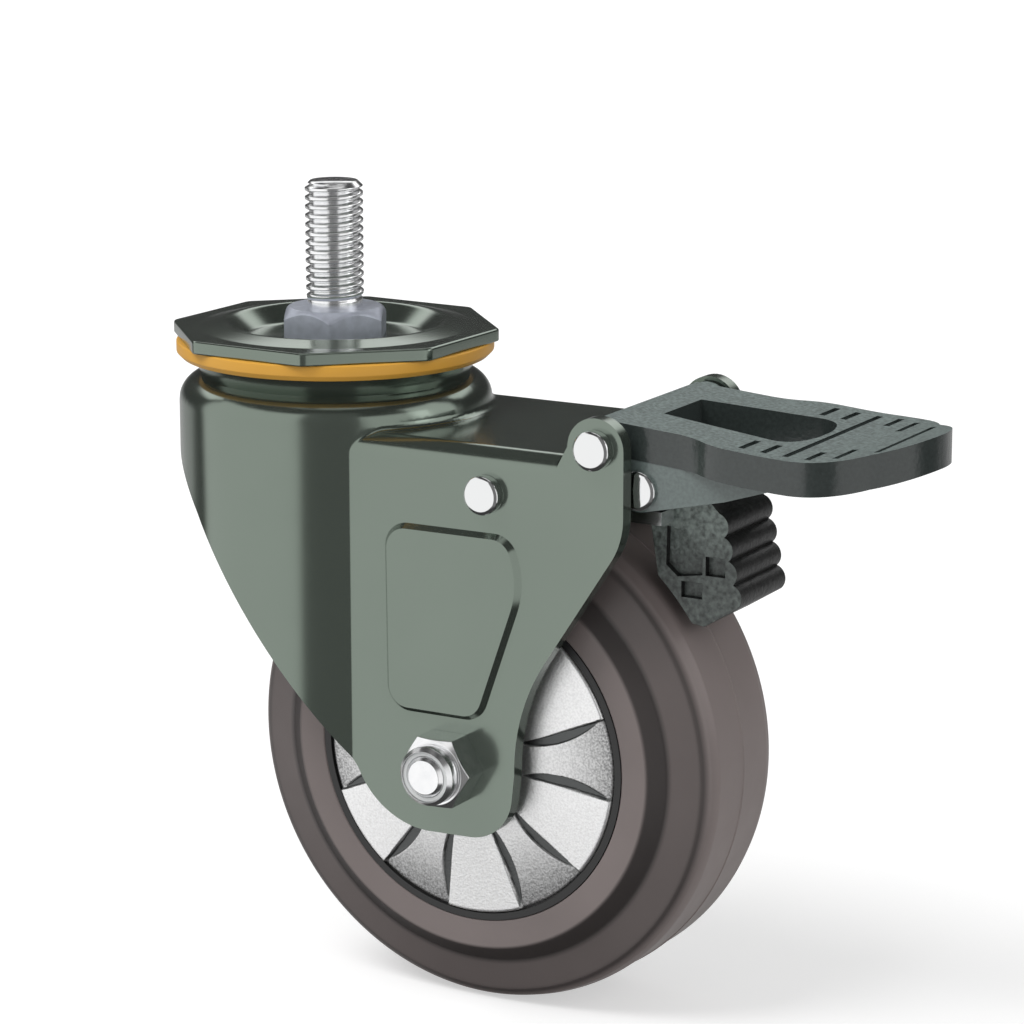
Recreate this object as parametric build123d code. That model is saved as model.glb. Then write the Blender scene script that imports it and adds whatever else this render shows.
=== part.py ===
from build123d import *
from math import cos, radians, sin, sqrt
import os

# Swivel castor with a threaded stem and a pedal brake, in millimetres.
# Origin: on the swivel axis, at the seat where the threaded stem leaves its hexagon.
# Z points up along the stem, X points back towards the pedal, and Y is the axle's direction.

# General clearances
pin_clearance = 0.05
ball_clearance = 0.05
sheet_gap = 0.4

# Threaded stem and hexagon, an M12 thread
stem_radius = 5.85
stem_length = 24.5
stem_chamfer = 1.0
hex_flats = 19.0
hex_height = 6.0
hex_turn = -3.4
shank_radius = 6.0
shank_tail = 1.5

# Octagonal top plate, pressed from sheet
plate_flats = 60.0
plate_corner_radius = 2.0
plate_turn = -2.0
plate_thickness = 2.5
plate_rim_drop = 3.7
plate_crest_rise = 0.9
dish_floor_radius = 17.3
dish_rim_radius = 26.8
dish_bend_radius = 2.4
plate_edge_chamfer = 0.5

# Dust ring
dust_ring_radius = 31.0
dust_ring_height = 3.1
dust_ring_bevel = 1.0

# Ball races of the swivel head
upper_ball_radius = 3.175
upper_ball_circle = 21.5
upper_ball_count = 12
lower_ball_radius = 2.0
lower_ball_circle = 14.0
lower_ball_count = 10
groove_depth = 0.2

# Lower race, lock ring and nut on the kingpin
sleeve_wall = 2.5
lower_race_thickness = 2.5
lower_race_radius = 18.3
lower_race_lip = 1.5
lower_race_lip_height = 2.6
lock_ring_radius = 17.0
lock_ring_thickness = 3.0
lock_notch_depth = 3.4
lock_notch_width = 2.4
lock_notch_count = 24
kingpin_nut_height = 6.0

# Fork, pressed from one sheet
sheet = 3.0
crown_radius = 30.6
crown_shoulder_drop = 13.0
crown_shoulder_radius = 5.0
race_floor_drop = 12.0
collar_radius = 27.6
collar_foot_radius = 26.2
collar_wall = 1.4
collar_top_drop = 9.7
crown_hole_gap = 1.0
leg_outer = 24.5
deck_drop = 19.0
deck_bend_radius = 4.0
deck_end_gap = 2.5
ear_radius = 5.8
ear_arm = 11.7
skirt_blend_radius = 1.5
emboss_height = 1.1
emboss_slope = 40.0
emboss_corner_radius = 5.0
emboss_waist_radius = 16.0

# Wheel
wheel_radius = 50.0
trail = 40.0
lever_tyre_gap = 2.3
tread_half_width = 9.8
shoulder_half_width = 13.5
shoulder_depth = 2.4
step_width = 2.9
step_half_width = 14.9
band_width = 5.5
band_half_width = 17.4
core_lip_width = 1.4
core_lip_half_width = 17.1
core_bed_height = 3.3
core_half_width = 13.5
rim_seat_width = 1.5
web_thickness = 5.0
hub_radius = 15.0
hub_half_length = 17.4
rib_count = 6
rib_thickness = 2.4
cover_radius = 31.1
cover_rim_half_width = 17.9
cover_crown_half_width = 19.0
cover_crown_radius = 14.5
cover_wall = 1.4
cover_flute_count = 12
cover_flute_depth = 0.6
cover_flute_width = 1.8
cover_gap = 0.2

# Ball bearings 8 x 22 x 7
bearing_radius = 11.0
bearing_width = 7.0
bearing_outer_half_width = 18.2
bearing_inner_land = 5.95
bearing_outer_land = 9.05
bearing_ball_radius = 1.98
bearing_ball_count = 7
shield_thickness = 0.5

# Axle bolt M8 with its locking nut
axle_radius = 3.95
axle_head_flats = 13.0
axle_head_height = 5.3
nut_height = 9.5
nut_hex_height = 6.4
nut_collar_radius = 5.7
nut_collar_bore = 4.9
insert_height = 2.2
axle_end_proud = 0.3
spacer_wall = 2.2
sleeve_outer = 6.0

# Pins riveted over at both ends
pin_radius = 2.5
rivet_head_radius = 3.7
rivet_head_height = 2.6
rivet_head_bevel = 0.6
lever_pin_back = 8.0
lever_pin_rise = 3.4
pedal_pin_x = 71.0
pedal_pin_rise = 2.2
shoe_pin_setback = 6.4
shoe_pin_below = 7.8

# Pedal, its places along X measured from its own pin
pedal_wall = 2.4
pedal_skirt = 6.3
pedal_front = 2.0
pedal_reach = 58.2
pedal_root_length = 15.3
pedal_barrel_half_width = 20.8
pedal_waist_half_width = 19.8
pedal_half_width = 23.5
pedal_wide_start = 27.0
pedal_wide_end = 38.0
barrel_radius = 4.9
pedal_nose_length = 7.8
cheek_outer = 19.7
cheek_thickness = 2.5
cheek_boss_radius = 4.1
cheek_head_height = 1.4
window_start = 5.2
window_end = 34.4
window_root_half_width = 7.6
window_half_width = 11.0
window_wall = 2.0
groove_first = 27.4
groove_pitch = 4.35
groove_width = 1.2
groove_margin = 3.0
tread_groove_depth = 0.8

# Brake shoe under the pedal
shoe_half_width = 9.3
shoe_hub_radius = 4.4
shoe_side_gap = 0.3
shoe_tread_gap = 2.5
shoe_foot_back = 8.4
shoe_foot_drop = 27.0
shoe_heel_back = 15.2
shoe_heel_drop = 22.8
shoe_relief_depth = 1.4
rib_height = 1.3
rib_pitch = 4.4
rib_lean = 0.95
shoe_rib_count = 4
spring_slot_half_width = 2.7
spring_wire = 1.0
spring_turns = 3
spring_lower_leg = 9.0
spring_upper_leg = 3.2
spring_leg_inset = 0.05
spring_leg_lap = 0.3

# Lock lever between the legs
lever_sheet = 2.5
lever_tongue_inset = 3.8
lever_tongue_half_width = 8.0
lever_tongue_gap = 2.0
lever_plateau_gap = 0.1
lever_side_gap = 1.4
lever_lug_radius = 4.2
lever_tail_half_width = 15.6
lever_tail_slot = 10.6
lever_tail_past_pin = 2.6
lever_tail_gap = 0.3
lock_tooth_width = 1.7
lock_tooth_length = 2.0
lock_tooth_count = 3

# Heights worked out from the driving sizes
leg_inner = leg_outer - sheet
plate_rim_top = -plate_rim_drop
plate_rim_bottom = plate_rim_top - plate_thickness
dish_floor_top = -hex_height
dish_floor_bottom = dish_floor_top - plate_thickness
race_floor = -race_floor_drop
crown_underside = race_floor - sheet
upper_ball_z = race_floor - groove_depth + ball_clearance + upper_ball_radius
race_roof = upper_ball_z + upper_ball_radius + ball_clearance - groove_depth
lower_ball_z = crown_underside + groove_depth - ball_clearance - lower_ball_radius
lower_race_top = lower_ball_z - lower_ball_radius - ball_clearance + groove_depth
lower_race_bottom = lower_race_top - lower_race_thickness
lock_ring_bottom = lower_race_bottom - lock_ring_thickness
kingpin_nut_bottom = lock_ring_bottom - kingpin_nut_height
deck_top = -deck_drop
deck_underside = deck_top - sheet
lever_tongue_top = lock_ring_bottom - lever_tongue_gap
tyre_top = lever_tongue_top - lever_sheet - lever_tyre_gap
axle_drop = wheel_radius - tyre_top
axle_centre = (trail, -axle_drop)
lever_pin_x = trail + lever_pin_back
lever_pin = (lever_pin_x, tyre_top + lever_pin_rise)
pedal_pin = (pedal_pin_x, deck_top + pedal_pin_rise)
shoe_pin = (pedal_pin_x + shoe_pin_setback, pedal_pin[1] - shoe_pin_below)
deck_end = pedal_pin_x - ear_radius - deck_end_gap
core_lip_radius = cover_radius + cover_gap + core_lip_width
core_radius = core_lip_radius + core_bed_height
rim_inner_radius = cover_radius - rim_seat_width
band_radius = core_lip_radius + band_width
step_outer_radius = band_radius + step_width
shoulder_radius = wheel_radius - shoulder_depth
cheek_inner = cheek_outer - cheek_thickness
bearing_inner_half_width = bearing_outer_half_width - bearing_width
bearing_ball_circle = (bearing_inner_land + bearing_outer_land) / 2
sleeve_radius = shank_radius + sleeve_wall
crown_hole_radius = sleeve_radius + crown_hole_gap
axle_plane = Plane(origin=(trail, 0, -axle_drop), x_dir=(1, 0, 0), z_dir=(0, 0, 1))
axle_axis = Axis((trail, 0, -axle_drop), (0, 1, 0))


def outline(points):
    """A flat face inside a closed run of straight edges."""
    return make_face(Polyline(*points, close=True))


def turned(points):
    """A solid of revolution about the swivel axis, from (radius, height) points."""
    return revolve(Plane.XZ * outline(points), Axis.Z)


def turned_on_axle(face):
    """A solid of revolution about the wheel's axis, from a face drawn in (radius, sideways)."""
    return revolve(axle_plane * face, axle_axis)


def across(face, half_width):
    """A face drawn in (x, z), carried equally to both sides of the middle plane."""
    return extrude(Plane.XZ * face, half_width, both=True)


def sideways(centre, radius, start, end):
    """A cylinder along Y through the (x, z) centre, from one y to the other."""
    x, z = centre
    place = Plane(origin=(x, start, z), x_dir=(1, 0, 0), z_dir=(0, 1, 0))
    return extrude(place * Circle(radius), end - start)


def both_sides(solid):
    """The solid with its mirror image on the other side of the middle plane."""
    return solid + mirror(solid, Plane.XZ)


def block(x0, x1, y0, y1, z0, z1):
    """A block between two opposite corners."""
    return Pos((x0 + x1) / 2, (y0 + y1) / 2, (z0 + z1) / 2) * Box(x1 - x0, y1 - y0, z1 - z0)


def chamfered_hexagon(flats, bottom, top, turn=0.0):
    """A hexagon prism whose corners are cut back by a cone at its top."""
    corner = flats / sqrt(3)
    prism = Pos(0, 0, bottom) * extrude(Rot(0, 0, turn) * RegularPolygon(corner, 6), top - bottom)
    face_radius = 0.475 * flats
    drop = (corner - face_radius) * 0.6
    envelope = turned([(0, bottom), (corner, bottom), (corner, top - drop), (face_radius, top), (0, top)])
    return prism & envelope


def ball_ring(count, circle, ball_radius, height):
    """Loose balls spaced evenly on a circle about the swivel axis."""
    balls = Part()
    for step in range(count):
        turn = Rot(0, 0, 360 * step / count)
        balls += turn * Pos(circle, 0, height) * Sphere(ball_radius)
    return balls


def ball_groove(circle, ball_radius, height):
    """The round groove that a ball's path leaves in a race."""
    return Pos(0, 0, height) * Torus(circle, ball_radius + ball_clearance)


def rivet_head(centre, face, height, outwards):
    """A button head standing on a side face, bevelled at its outer edge."""
    head = sideways(centre, rivet_head_radius, face, face + outwards * height)
    edge = head.edges().filter_by(GeomType.CIRCLE).sort_by(Axis.Y)
    outer = edge[-1] if outwards > 0 else edge[0]
    return chamfer(outer, rivet_head_bevel)


def riveted_pin(centre, half_length, head_height):
    """A cross pin with a button head on each end."""
    pin = sideways(centre, pin_radius, -half_length, half_length)
    pin += rivet_head(centre, half_length, head_height, 1)
    return pin + rivet_head(centre, -half_length, head_height, -1)


# Swivel head, fixed to the stem


def stem_bolt():
    """Threaded stem, hexagon and kingpin shank, turned and forged in one piece."""
    corner = hex_flats / sqrt(3)
    tail = kingpin_nut_bottom - shank_tail
    stem = turned([
        (0, -hex_height / 2),
        (stem_radius, -hex_height / 2),
        (stem_radius, stem_length - stem_chamfer),
        (stem_radius - stem_chamfer, stem_length),
        (0, stem_length),
    ])
    shank = turned([
        (0, -hex_height / 2),
        (shank_radius, -hex_height / 2),
        (shank_radius, tail + stem_chamfer),
        (shank_radius - stem_chamfer, tail),
        (0, tail),
    ])
    return chamfered_hexagon(hex_flats, -hex_height, 0, hex_turn) + stem + shank


def top_plate():
    """Octagonal plate, dished round the hexagon, with the upper ball race on its underside."""
    reach = plate_flats
    section = outline([
        (shank_radius + pin_clearance, dish_floor_top),
        (dish_floor_radius, dish_floor_top),
        (upper_ball_circle, plate_rim_top + plate_crest_rise),
        (dish_rim_radius, plate_rim_top),
        (reach, plate_rim_top),
        (reach, plate_rim_bottom),
        (dish_rim_radius, plate_rim_bottom),
        (upper_ball_circle, race_roof),
        (dish_floor_radius, dish_floor_bottom),
        (shank_radius + pin_clearance, dish_floor_bottom),
    ])
    inner_corners = [v for v in section.vertices() if dish_floor_radius - 1 < v.X < dish_rim_radius + 1]
    section = fillet(inner_corners, dish_bend_radius)
    dished = revolve(Plane.XZ * section, Axis.Z)
    octagon = RegularPolygon(plate_flats / 2, 8, major_radius=False, rotation=plate_turn)
    octagon = fillet(octagon.vertices(), plate_corner_radius)
    blank = Pos(0, 0, 2 * plate_rim_bottom) * extrude(octagon, -2 * plate_rim_bottom)
    plate = dished & blank
    rim_edges = plate.faces().filter_by(GeomType.PLANE).sort_by(Axis.Z)[-1].outer_wire().edges()
    plate = chamfer(rim_edges, plate_edge_chamfer)
    return plate - ball_groove(upper_ball_circle, upper_ball_radius, upper_ball_z)


def dust_ring():
    """Plastic ring that closes the upper ball race, under the plate's rim."""
    bottom = plate_rim_bottom - dust_ring_height
    inner = collar_radius + sheet_gap
    return turned([
        (inner, plate_rim_bottom),
        (dust_ring_radius - 0.3, plate_rim_bottom),
        (dust_ring_radius, plate_rim_bottom - 0.3),
        (dust_ring_radius, bottom + dust_ring_bevel),
        (dust_ring_radius - dust_ring_bevel, bottom),
        (inner, bottom),
    ])


def kingpin_sleeve():
    """Sleeve on the shank that sets the play of both ball races."""
    inner = shank_radius + pin_clearance
    return turned([
        (inner, dish_floor_bottom),
        (sleeve_radius, dish_floor_bottom),
        (sleeve_radius, lower_race_top),
        (inner, lower_race_top),
    ])


def lower_race():
    """Cup washer with the lower ball groove and an upturned dust lip."""
    inner = shank_radius + pin_clearance
    lip_top = lower_race_top + lower_race_lip_height
    cup = turned([
        (inner, lower_race_top),
        (lower_race_radius - lower_race_lip, lower_race_top),
        (lower_race_radius - lower_race_lip, lip_top),
        (lower_race_radius, lip_top),
        (lower_race_radius, lower_race_bottom + 1),
        (lower_race_radius - 1, lower_race_bottom),
        (inner, lower_race_bottom),
    ])
    return cup - ball_groove(lower_ball_circle, lower_ball_radius, lower_ball_z)


def lock_ring():
    """Notched disc on the kingpin, which the lock lever's teeth enter from below."""
    inner = shank_radius + pin_clearance
    ring = turned([
        (inner, lower_race_bottom),
        (lock_ring_radius, lower_race_bottom),
        (lock_ring_radius, lock_ring_bottom),
        (inner, lock_ring_bottom),
    ])
    notch = block(
        lock_ring_radius - lock_notch_depth,
        lock_ring_radius + 1,
        -lock_notch_width / 2,
        lock_notch_width / 2,
        lock_ring_bottom - 1,
        lower_race_bottom + 1,
    )
    for step in range(lock_notch_count):
        ring -= Rot(0, 0, 360 * step / lock_notch_count) * notch
    return ring


def kingpin_nut():
    """Nut that holds the swivel head together from below."""
    nut = chamfered_hexagon(hex_flats, -lock_ring_bottom, -kingpin_nut_bottom)
    nut = mirror(nut, Plane.XY)
    bore = Pos(0, 0, kingpin_nut_bottom) * Cylinder(shank_radius + pin_clearance, 4 * kingpin_nut_height)
    return nut - bore


# Fork


def crown(outside):
    """The cup of the crown: its outside, or the space inside the sheet."""
    low = -axle_drop - wheel_radius / 2
    if outside:
        top = -crown_shoulder_drop
        radius = crown_radius
        rounding = crown_shoulder_radius
    else:
        top = crown_underside
        radius = crown_radius - sheet
        rounding = crown_shoulder_radius - sheet
    cup = Pos(0, 0, low) * extrude(Circle(radius), top - low)
    rim = cup.edges().filter_by(GeomType.CIRCLE).sort_by(Axis.Z)[-1]
    return fillet(rim, rounding)


def deck_and_legs(outside):
    """The flat-sided rear of the fork: its outside, or the space inside the sheet."""
    low = -axle_drop - wheel_radius / 2
    half = leg_outer if outside else leg_inner
    top = deck_top if outside else deck_underside
    rounding = deck_bend_radius if outside else deck_bend_radius - sheet
    reach = pedal_pin_x + 2 * ear_radius
    body = block(0, reach, -half, half, low, top)
    long_edges = body.edges().filter_by(Axis.X).group_by(Axis.Z)[-1]
    return fillet(long_edges, rounding)


def fork_side_outline():
    """The fork seen from the side, as (x, z): skirt, axle end, brake arm and deck end."""
    ax, az = axle_centre
    rear = pedal_pin_x + ear_radius
    top = 0.0
    front = -crown_radius - 1
    brow = -crown_radius + 7.8
    knee = pedal_pin[1] - ear_arm
    ear_foot = deck_underside - deck_bend_radius
    edges = [
        Line((front, top), (deck_end, top)),
        Line((deck_end, top), (deck_end, ear_foot)),
        Line((deck_end, ear_foot), (rear, ear_foot)),
        Line((rear, ear_foot), (rear, knee)),
        ThreePointArc((rear, knee), (rear - 0.5, knee - 4.5), (rear - 2.2, knee - 8.5)),
        Line((rear - 2.2, knee - 8.5), (ax + 20.0, az + 21.8)),
        ThreePointArc((ax + 20.0, az + 21.8), (ax + 15.6, az + 12.0), (ax + 14.0, az)),
        Line((ax + 14.0, az), (ax + 13.4, az - 5.5)),
        ThreePointArc((ax + 13.4, az - 5.5), (ax + 10.6, az - 11.0), (ax + 4.0, az - 13.6)),
        Line((ax + 4.0, az - 13.6), (ax - 5.0, az - 13.8)),
        ThreePointArc((ax - 5.0, az - 13.8), (ax - 14.5, az - 10.7), (ax - 20.4, az - 3.5)),
        Line((ax - 20.4, az - 3.5), (brow + 7.5, deck_top - 18.8)),
        ThreePointArc((brow + 7.5, deck_top - 18.8), (brow, deck_top - 10.9), (front, deck_top - 3.0)),
        Line((front, deck_top - 3.0), (front, top)),
    ]
    return make_face(Curve() + edges)


def ear_outline():
    """The rounded ear that carries the pedal pin, standing up behind the deck."""
    px, pz = pedal_pin
    foot = deck_underside - deck_bend_radius
    shoulder = deck_top - 2.5
    edges = [
        Line((deck_end, foot), (deck_end, shoulder)),
        Line((deck_end, shoulder), (px - ear_radius, pz)),
        ThreePointArc((px - ear_radius, pz), (px, pz + ear_radius), (px + ear_radius, pz)),
        Line((px + ear_radius, pz), (px + ear_radius, foot)),
        Line((px + ear_radius, foot), (deck_end, foot)),
    ]
    return make_face(Curve() + edges)


def emboss_outline(margin):
    """The pressed panel on each leg, as (x, z), inside or outside by a margin."""
    ax, az = axle_centre
    panel = outline([
        (ax - 14.0, az + 46.0),
        (ax + 13.6, az + 46.1),
        (ax + 16.4, az + 36.4),
        (ax + 6.9, az + 9.4),
        (ax - 13.6, az + 9.4),
    ])
    waist = panel.vertices().sort_by(Axis.X)[-1]
    panel = fillet(waist, emboss_waist_radius)
    ends = [corner for corner in panel.vertices() if corner.Y > az + 44.0 or corner.Y < az + 10.0]
    panel = fillet(ends, emboss_corner_radius)
    return offset(panel, margin) if margin else panel


def fork():
    """The whole fork: crown cup, front skirt, deck, two legs and two ears in one sheet."""
    inside = crown(False) + deck_and_legs(False)
    outside = crown(True) + deck_and_legs(True)
    junction = [
        edge
        for edge in outside.edges().filter_by(Axis.Z)
        if edge.center().X > 0 and edge.center().X < crown_radius and edge.length > crown_radius
    ]
    outside = fillet(junction, skirt_blend_radius)
    shell = outside - inside
    shell = shell & across(fork_side_outline(), 2 * leg_outer)
    ear = extrude(Plane.XZ * ear_outline(), leg_outer) - extrude(Plane.XZ * ear_outline(), leg_inner)
    shell = shell + both_sides(ear)
    floor_step = crown_shoulder_drop - race_floor_drop
    raised_floor = Pos(0, 0, -crown_shoulder_drop) * extrude(Circle(collar_foot_radius), floor_step)
    collar_foot = -crown_shoulder_drop - 0.6
    bore = collar_foot_radius - collar_wall
    collar = turned([
        (bore, collar_foot),
        (collar_foot_radius, collar_foot),
        (collar_foot_radius, -crown_shoulder_drop),
        (collar_radius, -collar_top_drop),
        (bore, -collar_top_drop),
    ])
    shell = shell + raised_floor + collar
    panel = Pos(0, -leg_outer, 0) * extrude(Plane.XZ * emboss_outline(0), emboss_height, taper=emboss_slope)
    hollow = Plane.XZ * emboss_outline(-emboss_height)
    recess = Pos(0, -leg_inner + 0.001, 0) * extrude(hollow, emboss_height, taper=emboss_slope)
    shell = shell + both_sides(panel)
    shell = shell - both_sides(recess)
    shell -= Pos(0, 0, race_floor) * Cylinder(crown_hole_radius, 4 * sheet)
    shell -= ball_groove(upper_ball_circle, upper_ball_radius, upper_ball_z)
    shell -= ball_groove(lower_ball_circle, lower_ball_radius, lower_ball_z)
    reach = 2 * leg_outer
    shell -= sideways(axle_centre, axle_radius + pin_clearance, -reach, reach)
    shell -= sideways(lever_pin, pin_radius + pin_clearance, -reach, reach)
    shell -= sideways(pedal_pin, pin_radius + pin_clearance, -reach, reach)
    return shell


# Axle


def axle_bolt():
    """Hexagon bolt through both legs, its head on the far side."""
    end = -(leg_outer + nut_height + axle_end_proud)
    head = chamfered_hexagon(axle_head_flats, 0, axle_head_height)
    head = Pos(trail, leg_outer, -axle_drop) * Rot(-90, 0, 0) * head
    shank = sideways(axle_centre, axle_radius, end, leg_outer + axle_head_height / 2)
    tip = shank.edges().filter_by(GeomType.CIRCLE).sort_by(Axis.Y)[0]
    return chamfer(tip, 0.7) + head


def nut_solid():
    """Locking nut: hexagon, round collar, and a bore that widens for the insert."""
    hexagon = chamfered_hexagon(axle_head_flats, 0, nut_hex_height)
    collar = turned([
        (0, nut_hex_height / 2),
        (nut_collar_radius, nut_hex_height / 2),
        (nut_collar_radius, nut_height - 0.8),
        (nut_collar_radius - 0.8, nut_height),
        (0, nut_height),
    ])
    nut = hexagon + collar
    nut -= Cylinder(axle_radius + pin_clearance, 4 * nut_height)
    seat = nut_height - insert_height - 0.4
    pocket = Pos(0, 0, seat) * extrude(Circle(nut_collar_bore), nut_height)
    return nut - pocket


def axle_nut():
    """The locking nut in its place against the near leg."""
    return Pos(trail, -leg_outer, -axle_drop) * Rot(90, 0, 0) * nut_solid()


def nut_insert():
    """Nylon ring inside the locking nut's collar."""
    near = -(leg_outer + nut_height - 0.4)
    ring = sideways(axle_centre, nut_collar_bore, near, near + insert_height)
    return ring - sideways(axle_centre, axle_radius + pin_clearance, 2 * near, 0)


def axle_spacer(side):
    """Bush between a leg and the bearing's inner ring; side is -1 near, 1 far."""
    outer = axle_radius + pin_clearance + spacer_wall
    start = side * bearing_outer_half_width
    end = side * leg_inner
    hole = sideways(axle_centre, axle_radius + pin_clearance, start, end)
    return sideways(axle_centre, outer, start, end) - hole


def axle_sleeve():
    """Tube between the two bearings' inner rings."""
    half = bearing_inner_half_width
    tube = sideways(axle_centre, sleeve_outer, -half, half)
    return tube - sideways(axle_centre, axle_radius + pin_clearance, -half, half)


# Wheel


def bearing_race_groove():
    """The ball groove of a bearing, about the axle at its middle width."""
    return Torus(bearing_ball_circle, bearing_ball_radius + ball_clearance)


def bearing_place(side):
    """Where a bearing's own middle goes, its axis along the axle."""
    middle = (bearing_outer_half_width + bearing_inner_half_width) / 2
    return Pos(trail, side * middle, -axle_drop) * Rot(90, 0, 0)


def bearing_outer_ring(side):
    """Outer ring, pressed into the hub."""
    half = bearing_width / 2
    ring = Cylinder(bearing_radius, 2 * half) - Cylinder(bearing_outer_land, 4 * half)
    return bearing_place(side) * (ring - bearing_race_groove())


def bearing_inner_ring(side):
    """Inner ring, clamped on the axle."""
    half = bearing_width / 2
    ring = Cylinder(bearing_inner_land, 2 * half) - Cylinder(axle_radius + pin_clearance, 4 * half)
    return bearing_place(side) * (ring - bearing_race_groove())


def bearing_balls(side):
    """Balls between the two rings."""
    return bearing_place(side) * ball_ring(bearing_ball_count, bearing_ball_circle, bearing_ball_radius, 0)


def bearing_shield(side):
    """Thin seal that closes the bearing's outer face, held in the outer ring."""
    outer = bearing_outer_land
    inner = bearing_inner_land + 0.25
    face = side * (bearing_outer_half_width - 0.2)
    back = face - side * shield_thickness
    return sideways(axle_centre, outer, face, back) - sideways(axle_centre, inner, face, back)


def wheel_core():
    """Moulded core: rim with its seats for the covers, web, six ribs and hub."""
    rim = outline([
        (rim_inner_radius, -cover_rim_half_width + cover_wall + 0.1),
        (cover_radius + cover_gap, -cover_rim_half_width + cover_wall + 0.1),
        (cover_radius + cover_gap, -core_lip_half_width),
        (core_lip_radius, -core_lip_half_width),
        (core_lip_radius, -core_half_width),
        (core_radius, -core_half_width),
        (core_radius, core_half_width),
        (core_lip_radius, core_half_width),
        (core_lip_radius, core_lip_half_width),
        (cover_radius + cover_gap, core_lip_half_width),
        (cover_radius + cover_gap, cover_rim_half_width - cover_wall - 0.1),
        (rim_inner_radius, cover_rim_half_width - cover_wall - 0.1),
    ])
    core = turned_on_axle(rim)
    middle = (hub_radius + rim_inner_radius) / 2
    core += sideways(axle_centre, rim_inner_radius + 1, -web_thickness / 2, web_thickness / 2)
    core += sideways(axle_centre, hub_radius, -hub_half_length, hub_half_length)
    rib_length = rim_inner_radius - hub_radius + 2
    rib = Pos(middle, 0, 0) * Box(rib_length, rib_thickness, 2 * core_half_width)
    place = Pos(trail, 0, -axle_drop) * Rot(90, 0, 0)
    for step in range(rib_count):
        core += place * Rot(0, 0, 360 * step / rib_count) * rib
    half = hub_half_length + 1
    core -= sideways(axle_centre, bearing_outer_land + 0.6, -half, half)
    core -= sideways(axle_centre, bearing_radius, bearing_inner_half_width, half)
    core -= sideways(axle_centre, bearing_radius, -half, -bearing_inner_half_width)
    return core


def tyre():
    """Stepped tyre: light band, dark step, sloping sidewall and a flat tread with round shoulders."""
    half = [
        Line((core_radius, 0), (core_radius, core_half_width)),
        Line((core_radius, core_half_width), (core_lip_radius, core_half_width)),
        Line((core_lip_radius, core_half_width), (core_lip_radius, core_lip_half_width)),
        Line((core_lip_radius, core_lip_half_width), (band_radius, band_half_width)),
        Line((band_radius, band_half_width), (step_outer_radius, step_half_width)),
        Line((step_outer_radius, step_half_width), (shoulder_radius, shoulder_half_width)),
        ThreePointArc(
            (shoulder_radius, shoulder_half_width),
            (wheel_radius - 0.8, (shoulder_half_width + tread_half_width) / 2 + 0.5),
            (wheel_radius, tread_half_width),
        ),
        Line((wheel_radius, tread_half_width), (wheel_radius, 0)),
        Line((wheel_radius, 0), (core_radius, 0)),
    ]
    side = turned_on_axle(make_face(Curve() + half))
    return both_sides(side)


def flute(place_radius, end_radius):
    """A slim crescent between two arcs, along the radius, that one petal line leaves."""
    middle = (place_radius + end_radius) / 2
    edges = [
        ThreePointArc((place_radius, 0), (middle, 0.4), (end_radius, 0)),
        ThreePointArc((end_radius, 0), (middle, 0.4 + cover_flute_width), (place_radius, 0)),
    ]
    return make_face(Curve() + edges)


def hub_cover(side):
    """Domed cover with crescent flutes between its petals, snapped into the rim."""
    rim = cover_rim_half_width
    hub = cover_crown_half_width
    hole = bearing_radius + 0.4
    section = outline([
        (hole, hub),
        (cover_crown_radius, hub),
        (cover_radius - 1.5, rim - 0.4),
        (cover_radius - 0.8, rim),
        (cover_radius, rim),
        (cover_radius, rim - cover_wall),
        (cover_radius - 1.5, rim - cover_wall),
        (cover_crown_radius, hub - cover_wall),
        (hole, hub - cover_wall),
    ])
    skin = turned_on_axle(outline([
        (cover_crown_radius, hub - cover_flute_depth),
        (cover_radius - 1.5, rim - 0.4 - cover_flute_depth),
        (cover_radius - 1.5, hub + 1),
        (cover_crown_radius, hub + 1),
    ]))
    cover = turned_on_axle(section)
    start = cover_crown_radius + 1
    end = cover_radius - 2.0
    slot = extrude(flute(start, end), 2 * hub)
    place = Pos(trail, 0, -axle_drop) * Rot(-90, 0, 0)
    for step in range(cover_flute_count):
        petal = slot if step % 2 else mirror(slot, Plane.XZ)
        cover -= place * Rot(0, 0, 360 * step / cover_flute_count) * petal & skin
    if side > 0:
        return cover
    turned_over = Pos(trail, 0, 0) * Rot(0, 0, 180) * Pos(-trail, 0, 0)
    return turned_over * cover


# Pedal


def symmetric_face(edges):
    """A flat face from the edges of one half, closed by their mirror image in the middle plane."""
    half = Curve() + edges
    return make_face(half + mirror(half, Plane.XZ))


def pedal_plan():
    """The pedal seen from above: root, waist, wide tread and rounded tip."""
    wide = pedal_half_width
    waist = pedal_waist_half_width
    root = pedal_pin_x - pedal_front
    neck = root + pedal_root_length
    wide_start = pedal_pin_x + pedal_wide_start
    wide_end = pedal_pin_x + pedal_wide_end
    tip = pedal_pin_x + pedal_reach
    half_way = (neck + wide_start) / 2
    half_width = (waist + wide) / 2
    shoulder = tip - pedal_nose_length
    return symmetric_face([
        Line((root, 0), (root, waist)),
        Line((root, waist), (neck, waist)),
        ThreePointArc((neck, waist), ((neck + half_way) / 2, waist + 0.4), (half_way, half_width)),
        ThreePointArc((half_way, half_width), ((half_way + wide_start) / 2, wide - 0.4), (wide_start, wide)),
        Line((wide_start, wide), (wide_end, wide)),
        ThreePointArc((wide_end, wide), (tip - 12.4, 0.888 * wide), (shoulder, 0.652 * wide)),
        ThreePointArc((shoulder, 0.652 * wide), (tip - 2.2, 0.343 * wide), (tip, 0)),
    ])


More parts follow.
